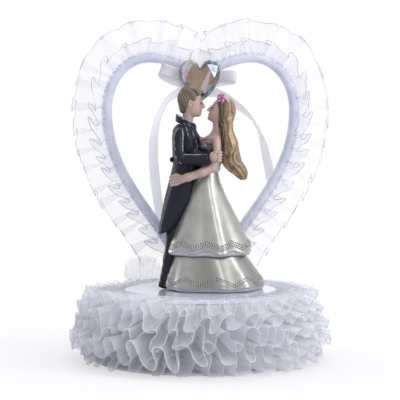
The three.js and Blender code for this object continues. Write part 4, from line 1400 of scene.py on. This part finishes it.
warm = skin.mix(skin.colour, (0.58, 0.29, 0.26), skin.value("blush") * 0.35)
warm = skin.mix(warm, (0.50, 0.11, 0.10), skin.value("lip") * 0.85)
warm = skin.mix(warm, (0.16, 0.10, 0.07), skin.value("brow") * 0.6)
skin.set("Base Color", skin.mix(warm, (0.012, 0.010, 0.010), skin.value("eye")))

GROOM_HEAD = (-4.5, 0, 102.4)
BRIDE_HEAD = (10.3, 0, 98.0)
GROOM_NOD = 0.12
BRIDE_NOD = -0.3
BRIDE_SIZE = 1.08


def groom_head(p):
    d = plain_head(head_frame(p, GROOM_HEAD, 1, GROOM_NOD), 1.0, True)
    return melt(d, limb(p, [(-8.1, 0, 86, 3.6), (-7.2, 0, 93, 3.0), (-6.3, 0, 98.5, 3.0)]), 1.2)


# Middle across, height, half width and half depth of the chest above the bodice.
CHEST = [
    (5.8, 79.0, 6.3, 7.6), (5.6, 81.4, 6.2, 8.2), (6.6, 83.2, 5.1, 7.4), (8.1, 84.9, 3.6, 5.0),
    (8.9, 86.8, 2.7, 3.0),
]


def bride_head(p):
    d = plain_head(head_frame(p, BRIDE_HEAD, -1, BRIDE_NOD) * BRIDE_SIZE, 0.9, False) / BRIDE_SIZE
    d = melt(d, limb(p, [(8.9, 0, 85, 2.7), (9.2, 0, 90, 2.3), (10.2, 0, 95, 2.4)]), 1.4)
    return melt(d, stack(p, CHEST, 1.2), 1.8)


def between_bodies(p):
    """Painted shade, laid on through the wash, where the two figures lean together."""
    return 0.6 * (1 - smooth(5.5, 9.0, p[..., 0])) * (1 - smooth(81.5, 85.5, p[..., 2]))


mesh, points = cast("groom_head", groom_head, (-13, -8, 85), (5, 8, 111), 0.32, skin)
face_paint(mesh, points, GROOM_HEAD, 1, GROOM_NOD)
mesh, points = cast(
    "bride_head", bride_head, (-3, -11, 77.5), (18, 11, 107), 0.34, skin, wash=between_bodies,
)
face_paint(mesh, points, BRIDE_HEAD, -1, BRIDE_NOD)

# %% [markdown]
# ## Hair
# Cast hair is a cap with locks scored into it. Around a crown or along a falling tress, an angle says which
# lock a point is on. A folded wave of that angle scores the locks, and a finer one scores the strands in
# each.

# %% Short hair
def score(angle, count, bend, groove=1.0):
    """Locks and strands across an angle, between 0 in a groove and 1 on a crest. A higher groove is wider."""
    angle = angle + 0.2 * np.sin(3.1 * angle + 0.9 * bend) + 0.08 * np.sin(7.3 * angle - 2.1 * bend)
    locks = np.abs(np.sin(0.5 * count * angle + bend)) ** groove
    strands = np.abs(np.sin(1.37 * count * angle + 2.3 * bend + 0.6))
    return (0.66 * locks + 0.34 * strands) * (0.88 + 0.12 * np.sin(5.3 * angle + 1.7 * bend))


def groom_locks(p):
    q = head_frame(p, GROOM_HEAD, 1, GROOM_NOD)
    crown = unit(np.array([-0.64, 0, 0.77]))
    ahead = np.array([crown[2], 0, -crown[0]])
    spun = np.arctan2(q[..., 1], (q - (0, 0, 1.0)) @ ahead)
    fall = 9 - (q - (0, 0, 1.0)) @ crown
    return score(spun, 30, 0.8 * np.sin(0.4 * fall) + 0.2 * fall, 1.9)


GROOM_LOCK_DEPTH = 0.9
# Heights on the head, and how far forward the hair reaches there.
HAIRLINE = np.array([
    (-6.0, -3.2), (-3.5, -2.8), (-1.0, -2.0), (0.2, -0.9), (1.0, 0.8), (2.4, 1.5), (3.8, 2.4), (5.2, 3.9),
    (6.2, 5.4), (7.0, 9.0),
])


def groom_hair(p):
    q = head_frame(p, GROOM_HEAD, 1, GROOM_NOD)
    f, y, u = q[..., 0], q[..., 1], q[..., 2]
    locks = groom_locks(p)
    d = melt(ball(q, (-1.5, 0, 2.0), (6.9, 6.2, 7.2)), ball(q, (2.5, 0, 6.2), (2.6, 4.0, 1.9)), 2.0)
    d = melt(d, ball(q, (-3.9, 0, -3.4), (2.7, 4.6, 3.6)), 1.5)
    d = d - GROOM_LOCK_DEPTH * (locks - 0.5)
    line = np.interp(u, HAIRLINE[:, 0], HAIRLINE[:, 1]) + 1.3 * (locks - 0.5)
    d = dig(d, (line - f) * 0.75, 0.3)
    d = dig(d, ball(q, (-0.4, 6.4, -0.7), (1.7, 2.0, 2.3)), 0.3)
    return dig(d, u + 6.5 - 1.2 * (locks - 0.5), 0.4)


def groom_streaks(p):
    """Lighter towards the fringe than at the back."""
    ahead = head_frame(p, GROOM_HEAD, 1, GROOM_NOD)[..., 0]
    return groom_locks(p) + 0.12 + 0.1 * smooth(0.5, 4.5, ahead)


cast("groom_hair", groom_hair, (-14, -8, 94), (4, 8, 114), 0.3, brown, lock=groom_streaks)

# %% Long hair
HAIR_FRONT = 11.0
# Middle across, height, half width and half depth of the fall, from the crown to the tips.
FALL = [
    (13.2, 105.0, 2.4, 3.0), (13.5, 103.5, 4.3, 5.2), (13.8, 101.2, 5.1, 6.5), (14.1, 98.2, 5.2, 7.0),
    (13.8, 94.6, 4.6, 6.6), (13.5, 91.2, 3.9, 5.8), (13.8, 88, 3.8, 5.6), (14.6, 84.8, 4.2, 5.8),
    (15.7, 80.2, 4.8, 6.0), (16.4, 74.4, 5.1, 6.0), (17.0, 70.5, 5.5, 5.8), (19.0, 67.2, 5.8, 5.2),
    (20.9, 64.5, 4.9, 4.4), (22.6, 62.2, 3.2, 3.2), (23.3, 60.2, 2.0, 1.9),
]
HAIR_TOP = 106
BRIDE_LOCK_DEPTH = 1.15


def bride_locks(p):
    x, z, a, b = np.array(FALL).T
    at = lambda values: np.interp(p[..., 2], z[::-1], values[::-1])
    turn = np.arctan2(p[..., 1] / at(b), (p[..., 0] - at(x)) / at(a))
    down = HAIR_TOP - p[..., 2]
    bend = 1.6 * np.sin(0.21 * down + 0.5) + 0.5 * np.sin(0.5 * down + 2 * turn) + 0.07 * down
    return score(turn, 10, bend)


def bride_hair(p):
    q = head_frame(p, BRIDE_HEAD, -1, BRIDE_NOD) * BRIDE_SIZE
    # A cap of hair covers the skull behind the hairline.
    cap = np.maximum(ball(q, SKULL, SKULL_RADII) / BRIDE_SIZE - 0.9, HAIR_FRONT - p[..., 0])
    return melt(stack(p, FALL, 1.2), cap, 0.8) - BRIDE_LOCK_DEPTH * (bride_locks(p) - 0.5)


def bride_streaks(p):
    """Painted shade: the hair is darkest beside the face."""
    return 0.2 + 0.74 * bride_locks(p) - 0.36 * (1 - smooth(11.0, 14.5, p[..., 0]))


cast(
    "bride_hair", bride_hair, (6, -9, 57), (29, 9, 109), 0.4, golden, lock=bride_streaks,
)

# %% Flower
FLOWER = np.array([11.4, -6.1, 104.9])


def petals(p):
    q = p - FLOWER
    turn = np.arctan2(q[..., 2], q[..., 0])
    out = np.hypot(q[..., 0], q[..., 2])
    return np.abs(np.sin(2.5 * turn + 2.2 * out + 0.9 * np.sin(1.6 * out)))


def flower(p):
    d = ball(p, FLOWER, (2.5, 1.7, 2.5)) - 0.75 * (petals(p) - 0.55)
    return dig(d, ball(p, FLOWER - (0, 1.7, 0), (0.45, 0.7, 0.45)), 0.25)


def flower_wash(p):
    """Dark between the petals and along the upper edge."""
    return 0.8 * smooth(0.7, 2.2, p[..., 2] - FLOWER[2]) + 0.5 * (1 - smooth(0.1, 0.55, petals(p)))


cast("bride_flower", flower, FLOWER - 4.2, FLOWER + 4.2, 0.24, pink, wash=flower_wash)

# %% [markdown]
# ## Coat, trousers and shoes
# The tail coat hangs back from the waist in two tails. Its seams are scored lines, its collar and lapels are
# raised bands, and two buttons sit at the back of the waist. Piping runs along the edges, and its pale paint
# is dry brush and partly a painted highlight, where the seams catch the light.

# %% Coat
# Lines are laid on a casting from this far off its middle, in this many steps.
LAID_FROM = 24
LAID_STEPS = 240
PIPING_RAISE = 0.3
PIPING_WIDTH = 0.5
# The pale paint on the piping spreads this wide: dry brush, and partly a painted highlight where the seams
# catch the light.
PIPING_BRUSH_AND_HIGHLIGHT = 0.45


def laid(field, line, side, count=14):
    """Lay a line that is drawn in side view onto the near (-1) or the far (1) face of a casting."""
    y = side * np.linspace(LAID_FROM, 0, LAID_STEPS)
    points = []
    for x, _, z in even(np.array([(x, 0, z) for x, z in line], float), count):
        inside = field(np.stack([x + 0 * y, y, z + 0 * y], -1)) < 0
        points.append((x, y[np.argmax(inside)] if inside.any() else 0.0, z, 0))
    return points


def piping(p, lines, width):
    """1 on lines laid on a casting, falling to 0 beside them."""
    near = np.min([limb(p, line, 0.01) for line in lines], axis=0)
    return np.exp(-((near / width) ** 2))


# Middle across, height, half width and half depth of the coat, from the tails to the neck.
COAT_LEVELS = [
    (-19.6, 29, 3.6, 8.4), (-16.9, 36, 5.6, 9.2), (-11.9, 48, 8.2, 9.8), (-9.7, 60, 7.6, 9.6),
    (-8.7, 68, 6.7, 9.2), (-8.0, 78, 7.6, 10.6), (-8.4, 83.6, 7.4, 10.9), (-8.7, 87.4, 6.0, 8.6),
    (-8.6, 90.6, 4.4, 4.9),
]
COAT_LINES = [
    [(-8.0, 89.2), (-6.9, 85.5), (-6.6, 82.0)], [(-4.6, 87.0), (-2.6, 81.4), (-1.6, 78.0)],
]
SIDE_SEAM = [
    (-14.0, 8.0, 83), (-15.4, 4.2, 74), (-15.6, 2.6, 70), (-18.2, 3.4, 55), (-21.2, 4.6, 40),
    (-23.4, 5.2, 30),
]
SEAM = 0.34
NECK_X = -8.0
COLLAR_RADIUS = 4.7
COLLAR_HEIGHT = 91.4


def collar_band(p):
    """A stand-up collar, high at the back and low at the front, with its lower edge turned out."""
    from_neck = np.hypot((p[..., 0] - NECK_X) / COLLAR_RADIUS, p[..., 1] / COLLAR_RADIUS)
    out = from_neck * COLLAR_RADIUS - COLLAR_RADIUS
    rise = p[..., 2] - (COLLAR_HEIGHT - 0.52 * (p[..., 0] - NECK_X))
    return np.maximum(np.abs(out - 0.25 * smooth(1, -2, rise)) - 0.8, np.abs(rise) - 2.1), rise


def frill(p):
    """Curls on the collar, from -1 to 1."""
    return np.sin(2.9 * p[..., 0] + 2.2 * p[..., 2]) * np.cos(1.7 * p[..., 1] + 0.9 * p[..., 2])


def coat_body(p):
    d = stack(p, COAT_LEVELS, 1.0)
    return melt(d, ball(both(p), (0.2, 3.4, 73.4), (5.6, 6.0, 3.9)), 3.0)


COAT_PIPING = [laid(coat_body, line, side) for line in COAT_LINES for side in (-1, 1)]


def coat(p):
    m = both(p)
    band, _ = collar_band(p)
    d = melt(coat_body(p), ball(p, (-10.0, 0, 86.8), (5.2, 7.0, 3.6)), 1.5)
    d = melt(d, band - 0.3 * frill(p), 0.35)
    d = melt(d, limb(m, [(-4.4, 3.4, 89.0, 0.9), (-1.8, 3.6, 84.0, 1.2), (-0.9, 1.6, 76.0, 0.8)]), 0.3)
    d = dig(d, limb(m, [(*place, SEAM) for place in SIDE_SEAM]), 0.35)
    d = dig(d, limb(p, [(-16.8, 0, 60, 0.35), (-20.4, 0, 46, 0.6), (-23.6, 0, 30, 0.95)]), 0.4)
    waist = np.abs(p[..., 2] - 69.6 - 0.12 * (p[..., 0] + 8)) - 0.22
    d = dig(d, np.maximum(waist, -(d + 0.4)), 0.3)
    d = d + 0.25 * np.sin(1.1 * p[..., 1] + 0.12 * p[..., 2]) * smooth(66, 50, p[..., 2])
    d = d - PIPING_RAISE * piping(p, COAT_PIPING, PIPING_WIDTH)
    hem = (p[..., 2] - 30.9 - 0.42 * (p[..., 0] + 20.6)) * 0.9
    d = dig(d, hem, 0.25)
    return melt(d, ball(m, (-16.0, 2.3, 71.2), (1.0, 1.1, 1.4)), 0.12)


def coat_trim(p):
    band, rise = collar_band(p)
    near_neck = np.hypot(p[..., 0] - NECK_X, p[..., 1]) < 6.6
    rim = np.exp(-(((rise - 2.0) / 0.45) ** 2)) * near_neck
    curls = 0.8 * smooth(0.35, 0.9, frill(p)) * (1 - smooth(0.3, 0.8, band))
    return np.maximum(np.maximum(rim, curls), 0.9 * piping(p, COAT_PIPING, PIPING_BRUSH_AND_HIGHLIGHT))


cast("groom_coat", coat, (-26, -13, 27), (10, 13, 98), 0.45, black, trim=coat_trim)

# %% Trousers, shoes and tie
LEGS = [
    [(-10.4, -3.2, 57, 4.8), (-13.0, -3.0, 42, 4.0), (-15.4, -2.8, 30, 3.2), (-17.4, -3.0, 16, 2.9),
     (-19.6, -3.4, 4.6, 2.9)],
    [(-10.1, 4.0, 56, 5.0), (-12.4, 4.3, 42, 4.6), (-14.8, 4.6, 28, 3.9), (-17.2, 4.8, 16, 3.4),
     (-19.4, 5.0, 4.6, 3.2)],
]
SHOE = [(-21.4, 4.4, 2.4, 1.9), (-18, 4.8, 2.4, 2.2), (-14, 5.5, 1.9, 2.0), (-11.6, 6, 1.5, 1.5)]
# The near and the far side of the couple, seen from the front.
NEAR_FAR = {"near": -1, "far": 1}


def trousers(p):
    d = melt(*[limb(p, leg, 1.5) for leg in LEGS], 0.6)
    rumple = 0.16 * np.sin(1.3 * p[..., 2] + 1.2 * p[..., 0] + 0.8 * p[..., 1]) * smooth(22, 8, p[..., 2])
    return np.maximum(d + rumple, 3.0 - p[..., 2])


def shoe(p, side):
    m = np.stack([p[..., 0], side * p[..., 1], p[..., 2]], -1)
    d = limb(m, SHOE, 1.0)
    sole = np.abs(p[..., 2] - 0.95) - 0.16
    d = dig(d, np.maximum(sole, -(d + 0.35)), 0.2)
    return dig(d, p[..., 2] - 0.05, 0.3)


def bow_tie(p):
    m = both(p)
    d = melt(ball(m, (-3.2, 1.9, 88.9), (0.9, 1.5, 1.45)), ball(p, (-3.0, 0, 88.9), (0.9, 0.8, 0.8)), 0.2)
    return d + 0.12 * np.sin(5 * p[..., 2])


cast("groom_trousers", trousers, (-24, -9.5, 2), (-3, 10.5, 63), 0.5, black)
for side, sign in NEAR_FAR.items():
    low, high = sorted([sign * 1.6, sign * 9.0])
    field = lambda p: shoe(p, sign)
    cast("groom_shoe_" + side, field, (-25.5, low, -1), (-9, high, 6), 0.38, black)
cast("groom_bow_tie", bow_tie, (-5.5, -4.5, 86), (0, 4.5, 92), 0.28, black)

# %% Sleeves
SLEEVES = {
    "near": [
        (-11.0, -10.2, 85.4, 3.6), (-11.9, -12.7, 78, 3.0), (-10.8, -14.2, 72.0, 3.1), (-2.5, -15, 71.7, 3.0),
        (3.5, -15.4, 72, 3.2),
    ],
    "far": [
        (-10.0, 10.4, 85.0, 3.8), (-9.6, 13.4, 77.6, 3.4), (-7.1, 14.6, 71.4, 3.3), (-0.5, 14.4, 70.8, 3.1),
        (5.5, 13.2, 71.2, 3.1),
    ],
}
SLEEVE_LINES = [
    [(-12.4, 88.2), (-13.8, 85.5), (-13.9, 82), (-13.6, 75.4), (-12.7, 71.2), (-10.2, 69.6)],
    [(-10.0, 88.6), (-9.5, 84.8), (-9.8, 78.6), (-9.6, 75.8)], [(-9.0, 74.4), (-3, 74.3), (2.2, 74.6)],
]


def sleeve_field(stations):
    end = np.array(stations[-1][:3], float)
    along = unit(end - np.array(stations[-2][:3], float))

    def field(p):
        d = np.maximum(limb(p, stations, 1.2), (p - end) @ along - 0.6)
        elbow = np.linalg.norm(p - np.array(stations[2][:3]), axis=-1)
        creases = np.sin(2.0 * p[..., 2] - 1.3 * p[..., 0]) * np.exp(-((elbow / 4.5) ** 2))
        return d + 0.2 * creases

    return field


for side, stations in SLEEVES.items():
    places = np.array(stations)[:, :3]
    low, high = places.min(0) - 6, places.max(0) + 6
    body = sleeve_field(stations)
    lines = [laid(body, line, NEAR_FAR[side]) for line in SLEEVE_LINES]
    field = lambda p: body(p) - PIPING_RAISE * piping(p, lines, PIPING_WIDTH)
    trim = lambda p: piping(p, lines, PIPING_BRUSH_AND_HIGHLIGHT)
    cast("groom_sleeve_" + side, field, low, high, 0.4, black, trim=trim)

# %% [markdown]
# ## Hands and arms
# The groom's near hand holds the bride's arm, and the far one lies on the bride's back. The bride's near arm
# crosses to the groom's back and ends in four fingers. Fingers are short rods that only just melt together,
# so that a groove stays between them.

# %% Hands of the groom
# Palm and its radii, first knuckle, reach of a finger, and the step down to the next.
HANDS = {
    "near": [(7.2, -15.0, 73.3), (2.7, 1.9, 2.9), (10.0, -15.7, 75.7), (1.3, 1.4, 0), -1.5],
    "far": [(9.7, 12.2, 71.4), (2.8, 1.8, 2.7), (12.0, 11.6, 73.6), (2.0, -1.6, 0), -1.45],
}


def hand_field(palm, radii, knuckle, reach, spacing):
    outer = -0.9 if palm[1] < 0 else 0.9

    def field(p):
        d = ball(p, palm, radii)
        for k in range(4):
            a = np.array(knuckle) + (0, 0, spacing * k)
            b = a + np.array(reach) * (1 - 0.12 * abs(k - 1))
            root = 0.5 * (a + np.array(palm))
            d = melt(d, limb(p, [(*root, 0.75), (*a, 0.82), (*b, 0.7)]), 0.22)
        top = np.array(palm) + (1.0, outer, 2.5)
        tip = top + (1.8, 0, 0.5)
        return melt(d, limb(p, [(*palm, 1.0), (*top, 0.85), (*tip, 0.68)]), 0.35)

    return field


for side, facts in HANDS.items():
    palm = np.array(facts[0])
    cast("groom_hand_" + side, hand_field(*facts), palm - 6.5, palm + 7.5, 0.3, skin)

# %% Arms of the bride
ARMS = {
    "near": [
        (8.6, -8.4, 82.0, 2.4), (8.9, -11.4, 75, 2.0), (6.7, -13.4, 66.9, 2.2), (1.0, -14.2, 64.7, 2.3),
        (-6.8, -13.2, 62.1, 2.2), (-9.6, -12.4, 61.0, 2.0),
    ],
    "far": [(8.3, 8.4, 82, 2.5), (4.5, 11.4, 80.2, 2.2), (-0.1, 12.4, 81.4, 1.9), (-4.1, 12.6, 83.6, 1.8)],
}
# Root, joint and tip of the first finger, and how far each moves from one finger to the next.
FINGERS = {
    "near": (
        [(-9.8, -12.4, 62.2), (-13.2, -11.0, 63.2), (-16.6, -7.8, 61.9)],
        [(0, 0, -0.75), (0, 0, -1.65), (0.2, 0, -1.5)],
    ),
    "far": ([(-4.1, 12.6, 84.4), (-6.0, 12.6, 85.8), (-7.4, 11.8, 86.2)], [(0, 0, -0.9)] * 3),
}
FINGER_RADII = (1.1, 0.92, 0.72)


def fingers_of(side):
    routes, step = np.array(FINGERS[side])
    return [routes + k * step for k in range(4)]


def arm_field(stations, fingers):
    def field(p):
        d = limb(p, stations, 1.0)
        for route in fingers:
            d = melt(d, limb(p, [(*point, r) for point, r in zip(route, FINGER_RADII)]), 0.2)
        return d

    return field


for side, stations in ARMS.items():
    fingers = fingers_of(side)
    places = np.vstack([np.array(stations)[:, :3], *fingers])
    low, high = places.min(0) - 4, places.max(0) + 4
    cast("bride_arm_" + side, arm_field(stations, fingers), low, high, 0.34, skin)

# %% [markdown]
# ## The dress
# The dress has two bells of pearl paint and a fitted bodice. A bell follows a rule: ellipses from hem to
# waist whose folds deepen downwards. So it is lofted row by row. Its painted hem runs in scallops over a
# paler, plainer band.

# %% Skirts
SKIRT_SIDES = 240
round_angle = np.linspace(0, 2 * np.pi, SKIRT_SIDES, endpoint=False)
# Height, middle across, half width and half depth.
BELLS = {
    "lower": [
        (0, 7.0, 27.2, 21.7), (2.0, 7.0, 27.5, 22.0), (4, 6.9, 27.2, 21.8), (10.5, 6.1, 24.4, 19.8),
        (18.5, 4.7, 20.2, 16.8), (25.5, 4.6, 15.5, 13),
    ],
    "upper": [
        (19.2, 4.9, 22.9, 19.0), (20.5, 4.9, 23.0, 19.2), (25.7, 5.2, 21.9, 18.4), (33.8, 4.4, 18.4, 15.8),
        (42.5, 3.7, 14.8, 13.0), (51.2, 2.9, 11.2, 10.4), (59.3, 2.75, 8.0, 8.2), (65, 3.3, 6.4, 6.7),
    ],
}
# Count, depth and start of the waves that add up to the folds.
FOLDS = {
    "lower": [(5, 0.028, 0.4), (9, 0.024, 1.9), (13, 0.010, 0.2)],
    "upper": [(5, 0.030, 2.0), (8, 0.036, -0.8), (11, 0.013, 4.0)],
}
# Count, depth and start of the hem's scallops, and the height of the band below them.
SCALLOPS = {"lower": (7, 0.5, 0.6), "upper": (9, 0.95, 3.93)}
BAND = {"lower": 1.7, "upper": 1.9}
# Rows of the band by their share of its height, then of the hem's edge by their height over it.
BAND_ROWS = [(0.25, -2.4), (0.04, -1.3), (0.02, -0.75), (0.25, -0.5), (0.6, -0.45), (0.97, -0.4)]
EDGE_ROWS = [(0.02, -0.15), (0.12, 0.1), (0.4, 0.16), (0.8, 0.08)]
BELL_START = 1.2
BELL_ROWS = 48
# The lower bell is painted darker through the wash: painted shade from the upper bell and the groom.
BELL_SHADE = {"lower": 0.26, "upper": 0.05}
# The hem's band is painted solid, unlike the dry-brushed piping.
HEM_TRIM = 3.0
# The crests of the folds are brushed lighter, and their hollows are painted darker through the wash: painted
# shade in the folds.
FOLD_BRUSH_AND_SHADE = 2.6


def folds_at(which, angle):
    return sum(depth * np.sin(count * angle + start) for count, depth, start in FOLDS[which])


def skirt_point(which, angle, height, grow=0.0):
    """A point on a bell at an angle and a height."""
    z, middles, widths, depths = np.array(BELLS[which], float).T
    middle, wide, deep = (np.interp(height, z, values) for values in (middles, widths, depths))
    share = np.clip((z[-1] - height) / (z[-1] - z[0]), 0, 1)
    fold = 1 + share**0.8 * folds_at(which, angle)
    x = middle + (wide * fold + grow) * np.cos(angle)
    y = (deep * fold + grow) * np.sin(angle)
    return np.stack([x, y, height + 0 * angle], -1)


def hem_at(which, angle):
    count, depth, start = SCALLOPS[which]
    return BELLS[which][0][0] + BAND[which] + depth * np.sin(count * angle + start)


def skirt(which):
    name = "bride_skirt_" + which
    low, top = BELLS[which][0][0], BELLS[which][-1][0]
    hem = hem_at(which, round_angle)
    levels = [(low + share * (hem - low), grow) for share, grow in BAND_ROWS]
    levels += [(hem + up, grow) for up, grow in EDGE_ROWS]
    levels += [(hem + BELL_START + (top - hem - BELL_START) * t, 0.0) for t in np.linspace(0, 1, BELL_ROWS)]
    rows = np.array([skirt_point(which, round_angle, height, grow) for height, grow in levels]) + COUPLE
    mesh = outward(mesh_of("cast_" + name, rows, shell_faces(len(rows), SKIRT_SIDES), pearl))
    keep_value(mesh, "ridge", np.tile(FOLD_BRUSH_AND_SHADE * folds_at(which, round_angle) - BELL_SHADE[which], len(rows)))
    on_band = np.arange(len(rows)) < len(BAND_ROWS) + 2
    keep_value(mesh, "trim", np.repeat(HEM_TRIM * on_band, SKIRT_SIDES))
    new_piece("cast_" + name, mesh, "topper", [name])
    print(which, "skirt has", len(mesh.polygons), "faces")


for which in BELLS:
    skirt(which)

# Height and half height of the raised rim and belt, and the place of the side seams.
RAISED_BANDS = [(80.2, 0.35), (65.8, 0.6)]
BAND_RAISE = 0.25
BODICE_SEAM = 4.0
# Middle across, height, half width and half depth.
BODICE_LEVELS = [(3.8, 64.4, 6.7, 6.7), (5.1, 71, 6.6, 7.2), (5.7, 77.5, 7.0, 8.0), (6.5, 80.8, 6.2, 7.9)]


def bodice(p):
    d = stack(p, BODICE_LEVELS, 0.7)
    d = melt(d, ball(both(p), (1.6, 4.4, 78.4), (3.2, 3.5, 3.3)), 1.2)
    for height, half in RAISED_BANDS:
        d = np.minimum(d, np.maximum(d - BAND_RAISE, np.abs(p[..., 2] - height) - half))
    seam = np.abs(np.abs(p[..., 1]) - BODICE_SEAM) - 0.12
    return dig(d, np.maximum(seam, -(d + 0.3)), 0.25)


def bodice_wash(p):
    """Painted shade between the two figures, and a painted highlight at the back of the waist, both laid on
    through the wash.
    """
    shaded = 1.6 * (1 - smooth(78.5, 82.5, p[..., 2])) * (1 - smooth(6.5, 9.0, p[..., 0]))
    return shaded - 1.5 * smooth(8.0, 10.0, p[..., 0]) * (1 - smooth(70.0, 74.0, p[..., 2]))


cast(
    "bride_bodice", bodice, (-5, -10, 63), (15, 10, 83.5), 0.38, shaded_pearl,
    wash=bodice_wash,
)

# %% [markdown]
# ## Beads on the hems
# Rows of tiny raised dots run in points and scallops above both hems, and a few buttons close the back. A
# bead repeats hundreds of times, so Geometry Nodes puts one small round shape on every point, then makes it
# real.

# %% Bead tree
def bead_tree():
    beads = Tree("beads_on_points", {"Points": "Geometry", "Radius": "Float", "Finish": "Material"})
    sockets = {"Segments": 6, "Rings": 4, "Radius": beads.inputs.other("Radius")}
    bead = beads.add("GeometryNodeMeshUVSphere", {}, sockets)
    bead = beads.add("GeometryNodeSetShadeSmooth", {}, {0: bead})
    size = beads.add("FunctionNodeRandomValue", {"data_type": "FLOAT"}, {2: 0.8, 3: 1.2, "Seed": 3}, 1)
    sockets = {"Points": beads.inputs, "Instance": bead, "Scale": size}
    return beads.end(beads.add("GeometryNodeInstanceOnPoints", {}, sockets))


# %% Bead rows
BEAD_RADIUS = 0.34
BEAD_STEP = 0.68
# Every second dot is painted dark and the next one light: painted shade and painted highlights of the raised
# dots. The paint reads these as grooves and edges.
BEAD_HIGHLIGHT_AND_SHADE = (-1.0, 2.6)
ZIGZAGS = 9
# Count of rows over each hem, rise of the first, step to the next, depth and start of the zigzag.
BEAD_ROWS = {"lower": (2, 1.3, 1.3, 3.8, 0.1), "upper": (3, 1.1, 1.25, 2.9, 0.375)}
BUTTON_HEIGHTS = np.array([55.0, 57.5, 60.0])
BEAD_OUT = 0.05
BUTTON_OUT = 0.1
bead_paint = paint(
    "bead_paint", (0.20, 0.20, 0.19), (0.075, 0.075, 0.073), (0.55, 0.55, 0.53), 0.34, PEARL_GLOSS,
    light_at=(1.2, 1.8),
)


def bead_row(which, rise, depth, start):
    """Points of a zigzag over the hem, at even distances."""
    angle = np.linspace(0, 2 * np.pi, 2400)
    zigzag = 2 * np.abs((ZIGZAGS * angle / (2 * np.pi) + start) % 1 - 0.5)
    line = skirt_point(which, angle, BELLS[which][0][0] + BAND[which] + rise + depth * zigzag, BEAD_OUT)
    return even(line, int(walked(line)[-1] / BEAD_STEP))[:-1]


bead_points = []
for which, (count, rise, step, depth, start) in BEAD_ROWS.items():
    bead_points += [bead_row(which, rise + step * k, depth, start) for k in range(count)]
bead_points.append(skirt_point("upper", np.zeros(len(BUTTON_HEIGHTS)), BUTTON_HEIGHTS, BUTTON_OUT))
mesh = bpy.data.meshes.new("bead_points")
mesh.from_pydata(((np.vstack(bead_points) + COUPLE) * MM).tolist(), [], [])
tones = [np.resize(np.roll(BEAD_HIGHLIGHT_AND_SHADE, k), len(row)) for k, row in enumerate(bead_points)]
keep_value(mesh, "ridge", np.concatenate(tones))
mesh = grown("hem_beads", bead_tree(), mesh, Radius=BEAD_RADIUS * MM, Finish=bead_paint.material)
new_piece("hem_beads", mesh, "topper")
print("beads:", sum(len(row) for row in bead_points))

# %% [markdown]
# ## The base itself
# The drum under the ruffles is foam, closed by a glossy plastic plate on top and a white card below. Their
# solids have the right shape, so they stay and only get their finish.

# %% Plastic, foam, card and wire
plastic = Finish("white_plastic", {"Coat Weight": 0.8, "Coat Roughness": 0.05})
swirl = plastic.noise(60.0, 2.0)
speck = plastic.noise(1400.0, 2.0)
plastic.set("Base Color", plastic.mix((0.74, 0.77, 0.88), (0.80, 0.83, 0.92), swirl))
plastic.set("Roughness", 0.1 + speck * 0.12)
plastic.bump(swirl * 2.0 + speck * 0.1, 0.05, 0.3)

foam = Finish("white_foam", {"Roughness": 0.85})
cells = foam.add("ShaderNodeTexVoronoi", {"feature": "F1"}, {"Vector": foam.place(), "Scale": 420.0})
foam.set("Base Color", foam.mix((0.80, 0.80, 0.82), (0.72, 0.72, 0.76), cells.between(0.3, 0.7)))
foam.bump(1 - cells, 0.4, 0.7)

card = Finish("white_card", {})
fibre = card.noise(700.0, 4.0, card.stretched((1, 3, 1)))
card.set("Base Color", card.mix((0.80, 0.79, 0.77), (0.86, 0.86, 0.85), fibre))
card.set("Roughness", 0.75 + fibre * 0.15)
card.bump(fibre, 0.08, 0.4)

wire = Finish("drawn_wire", {"Metallic": 1.0})
drawn = wire.noise(500.0, 3.0, wire.stretched((6, 6, 0.3)))
wire.set("Base Color", wire.mix((0.50, 0.51, 0.53), (0.66, 0.67, 0.69), drawn))
wire.set("Roughness", 0.28 + drawn * 0.2)

for node, finish in {"base_top": plastic, "base_core": foam, "base_card": card, "heart_wire": wire}.items():
    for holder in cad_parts[node].material_slots:
        holder.material = finish.material
print("base and wire keep their solids")
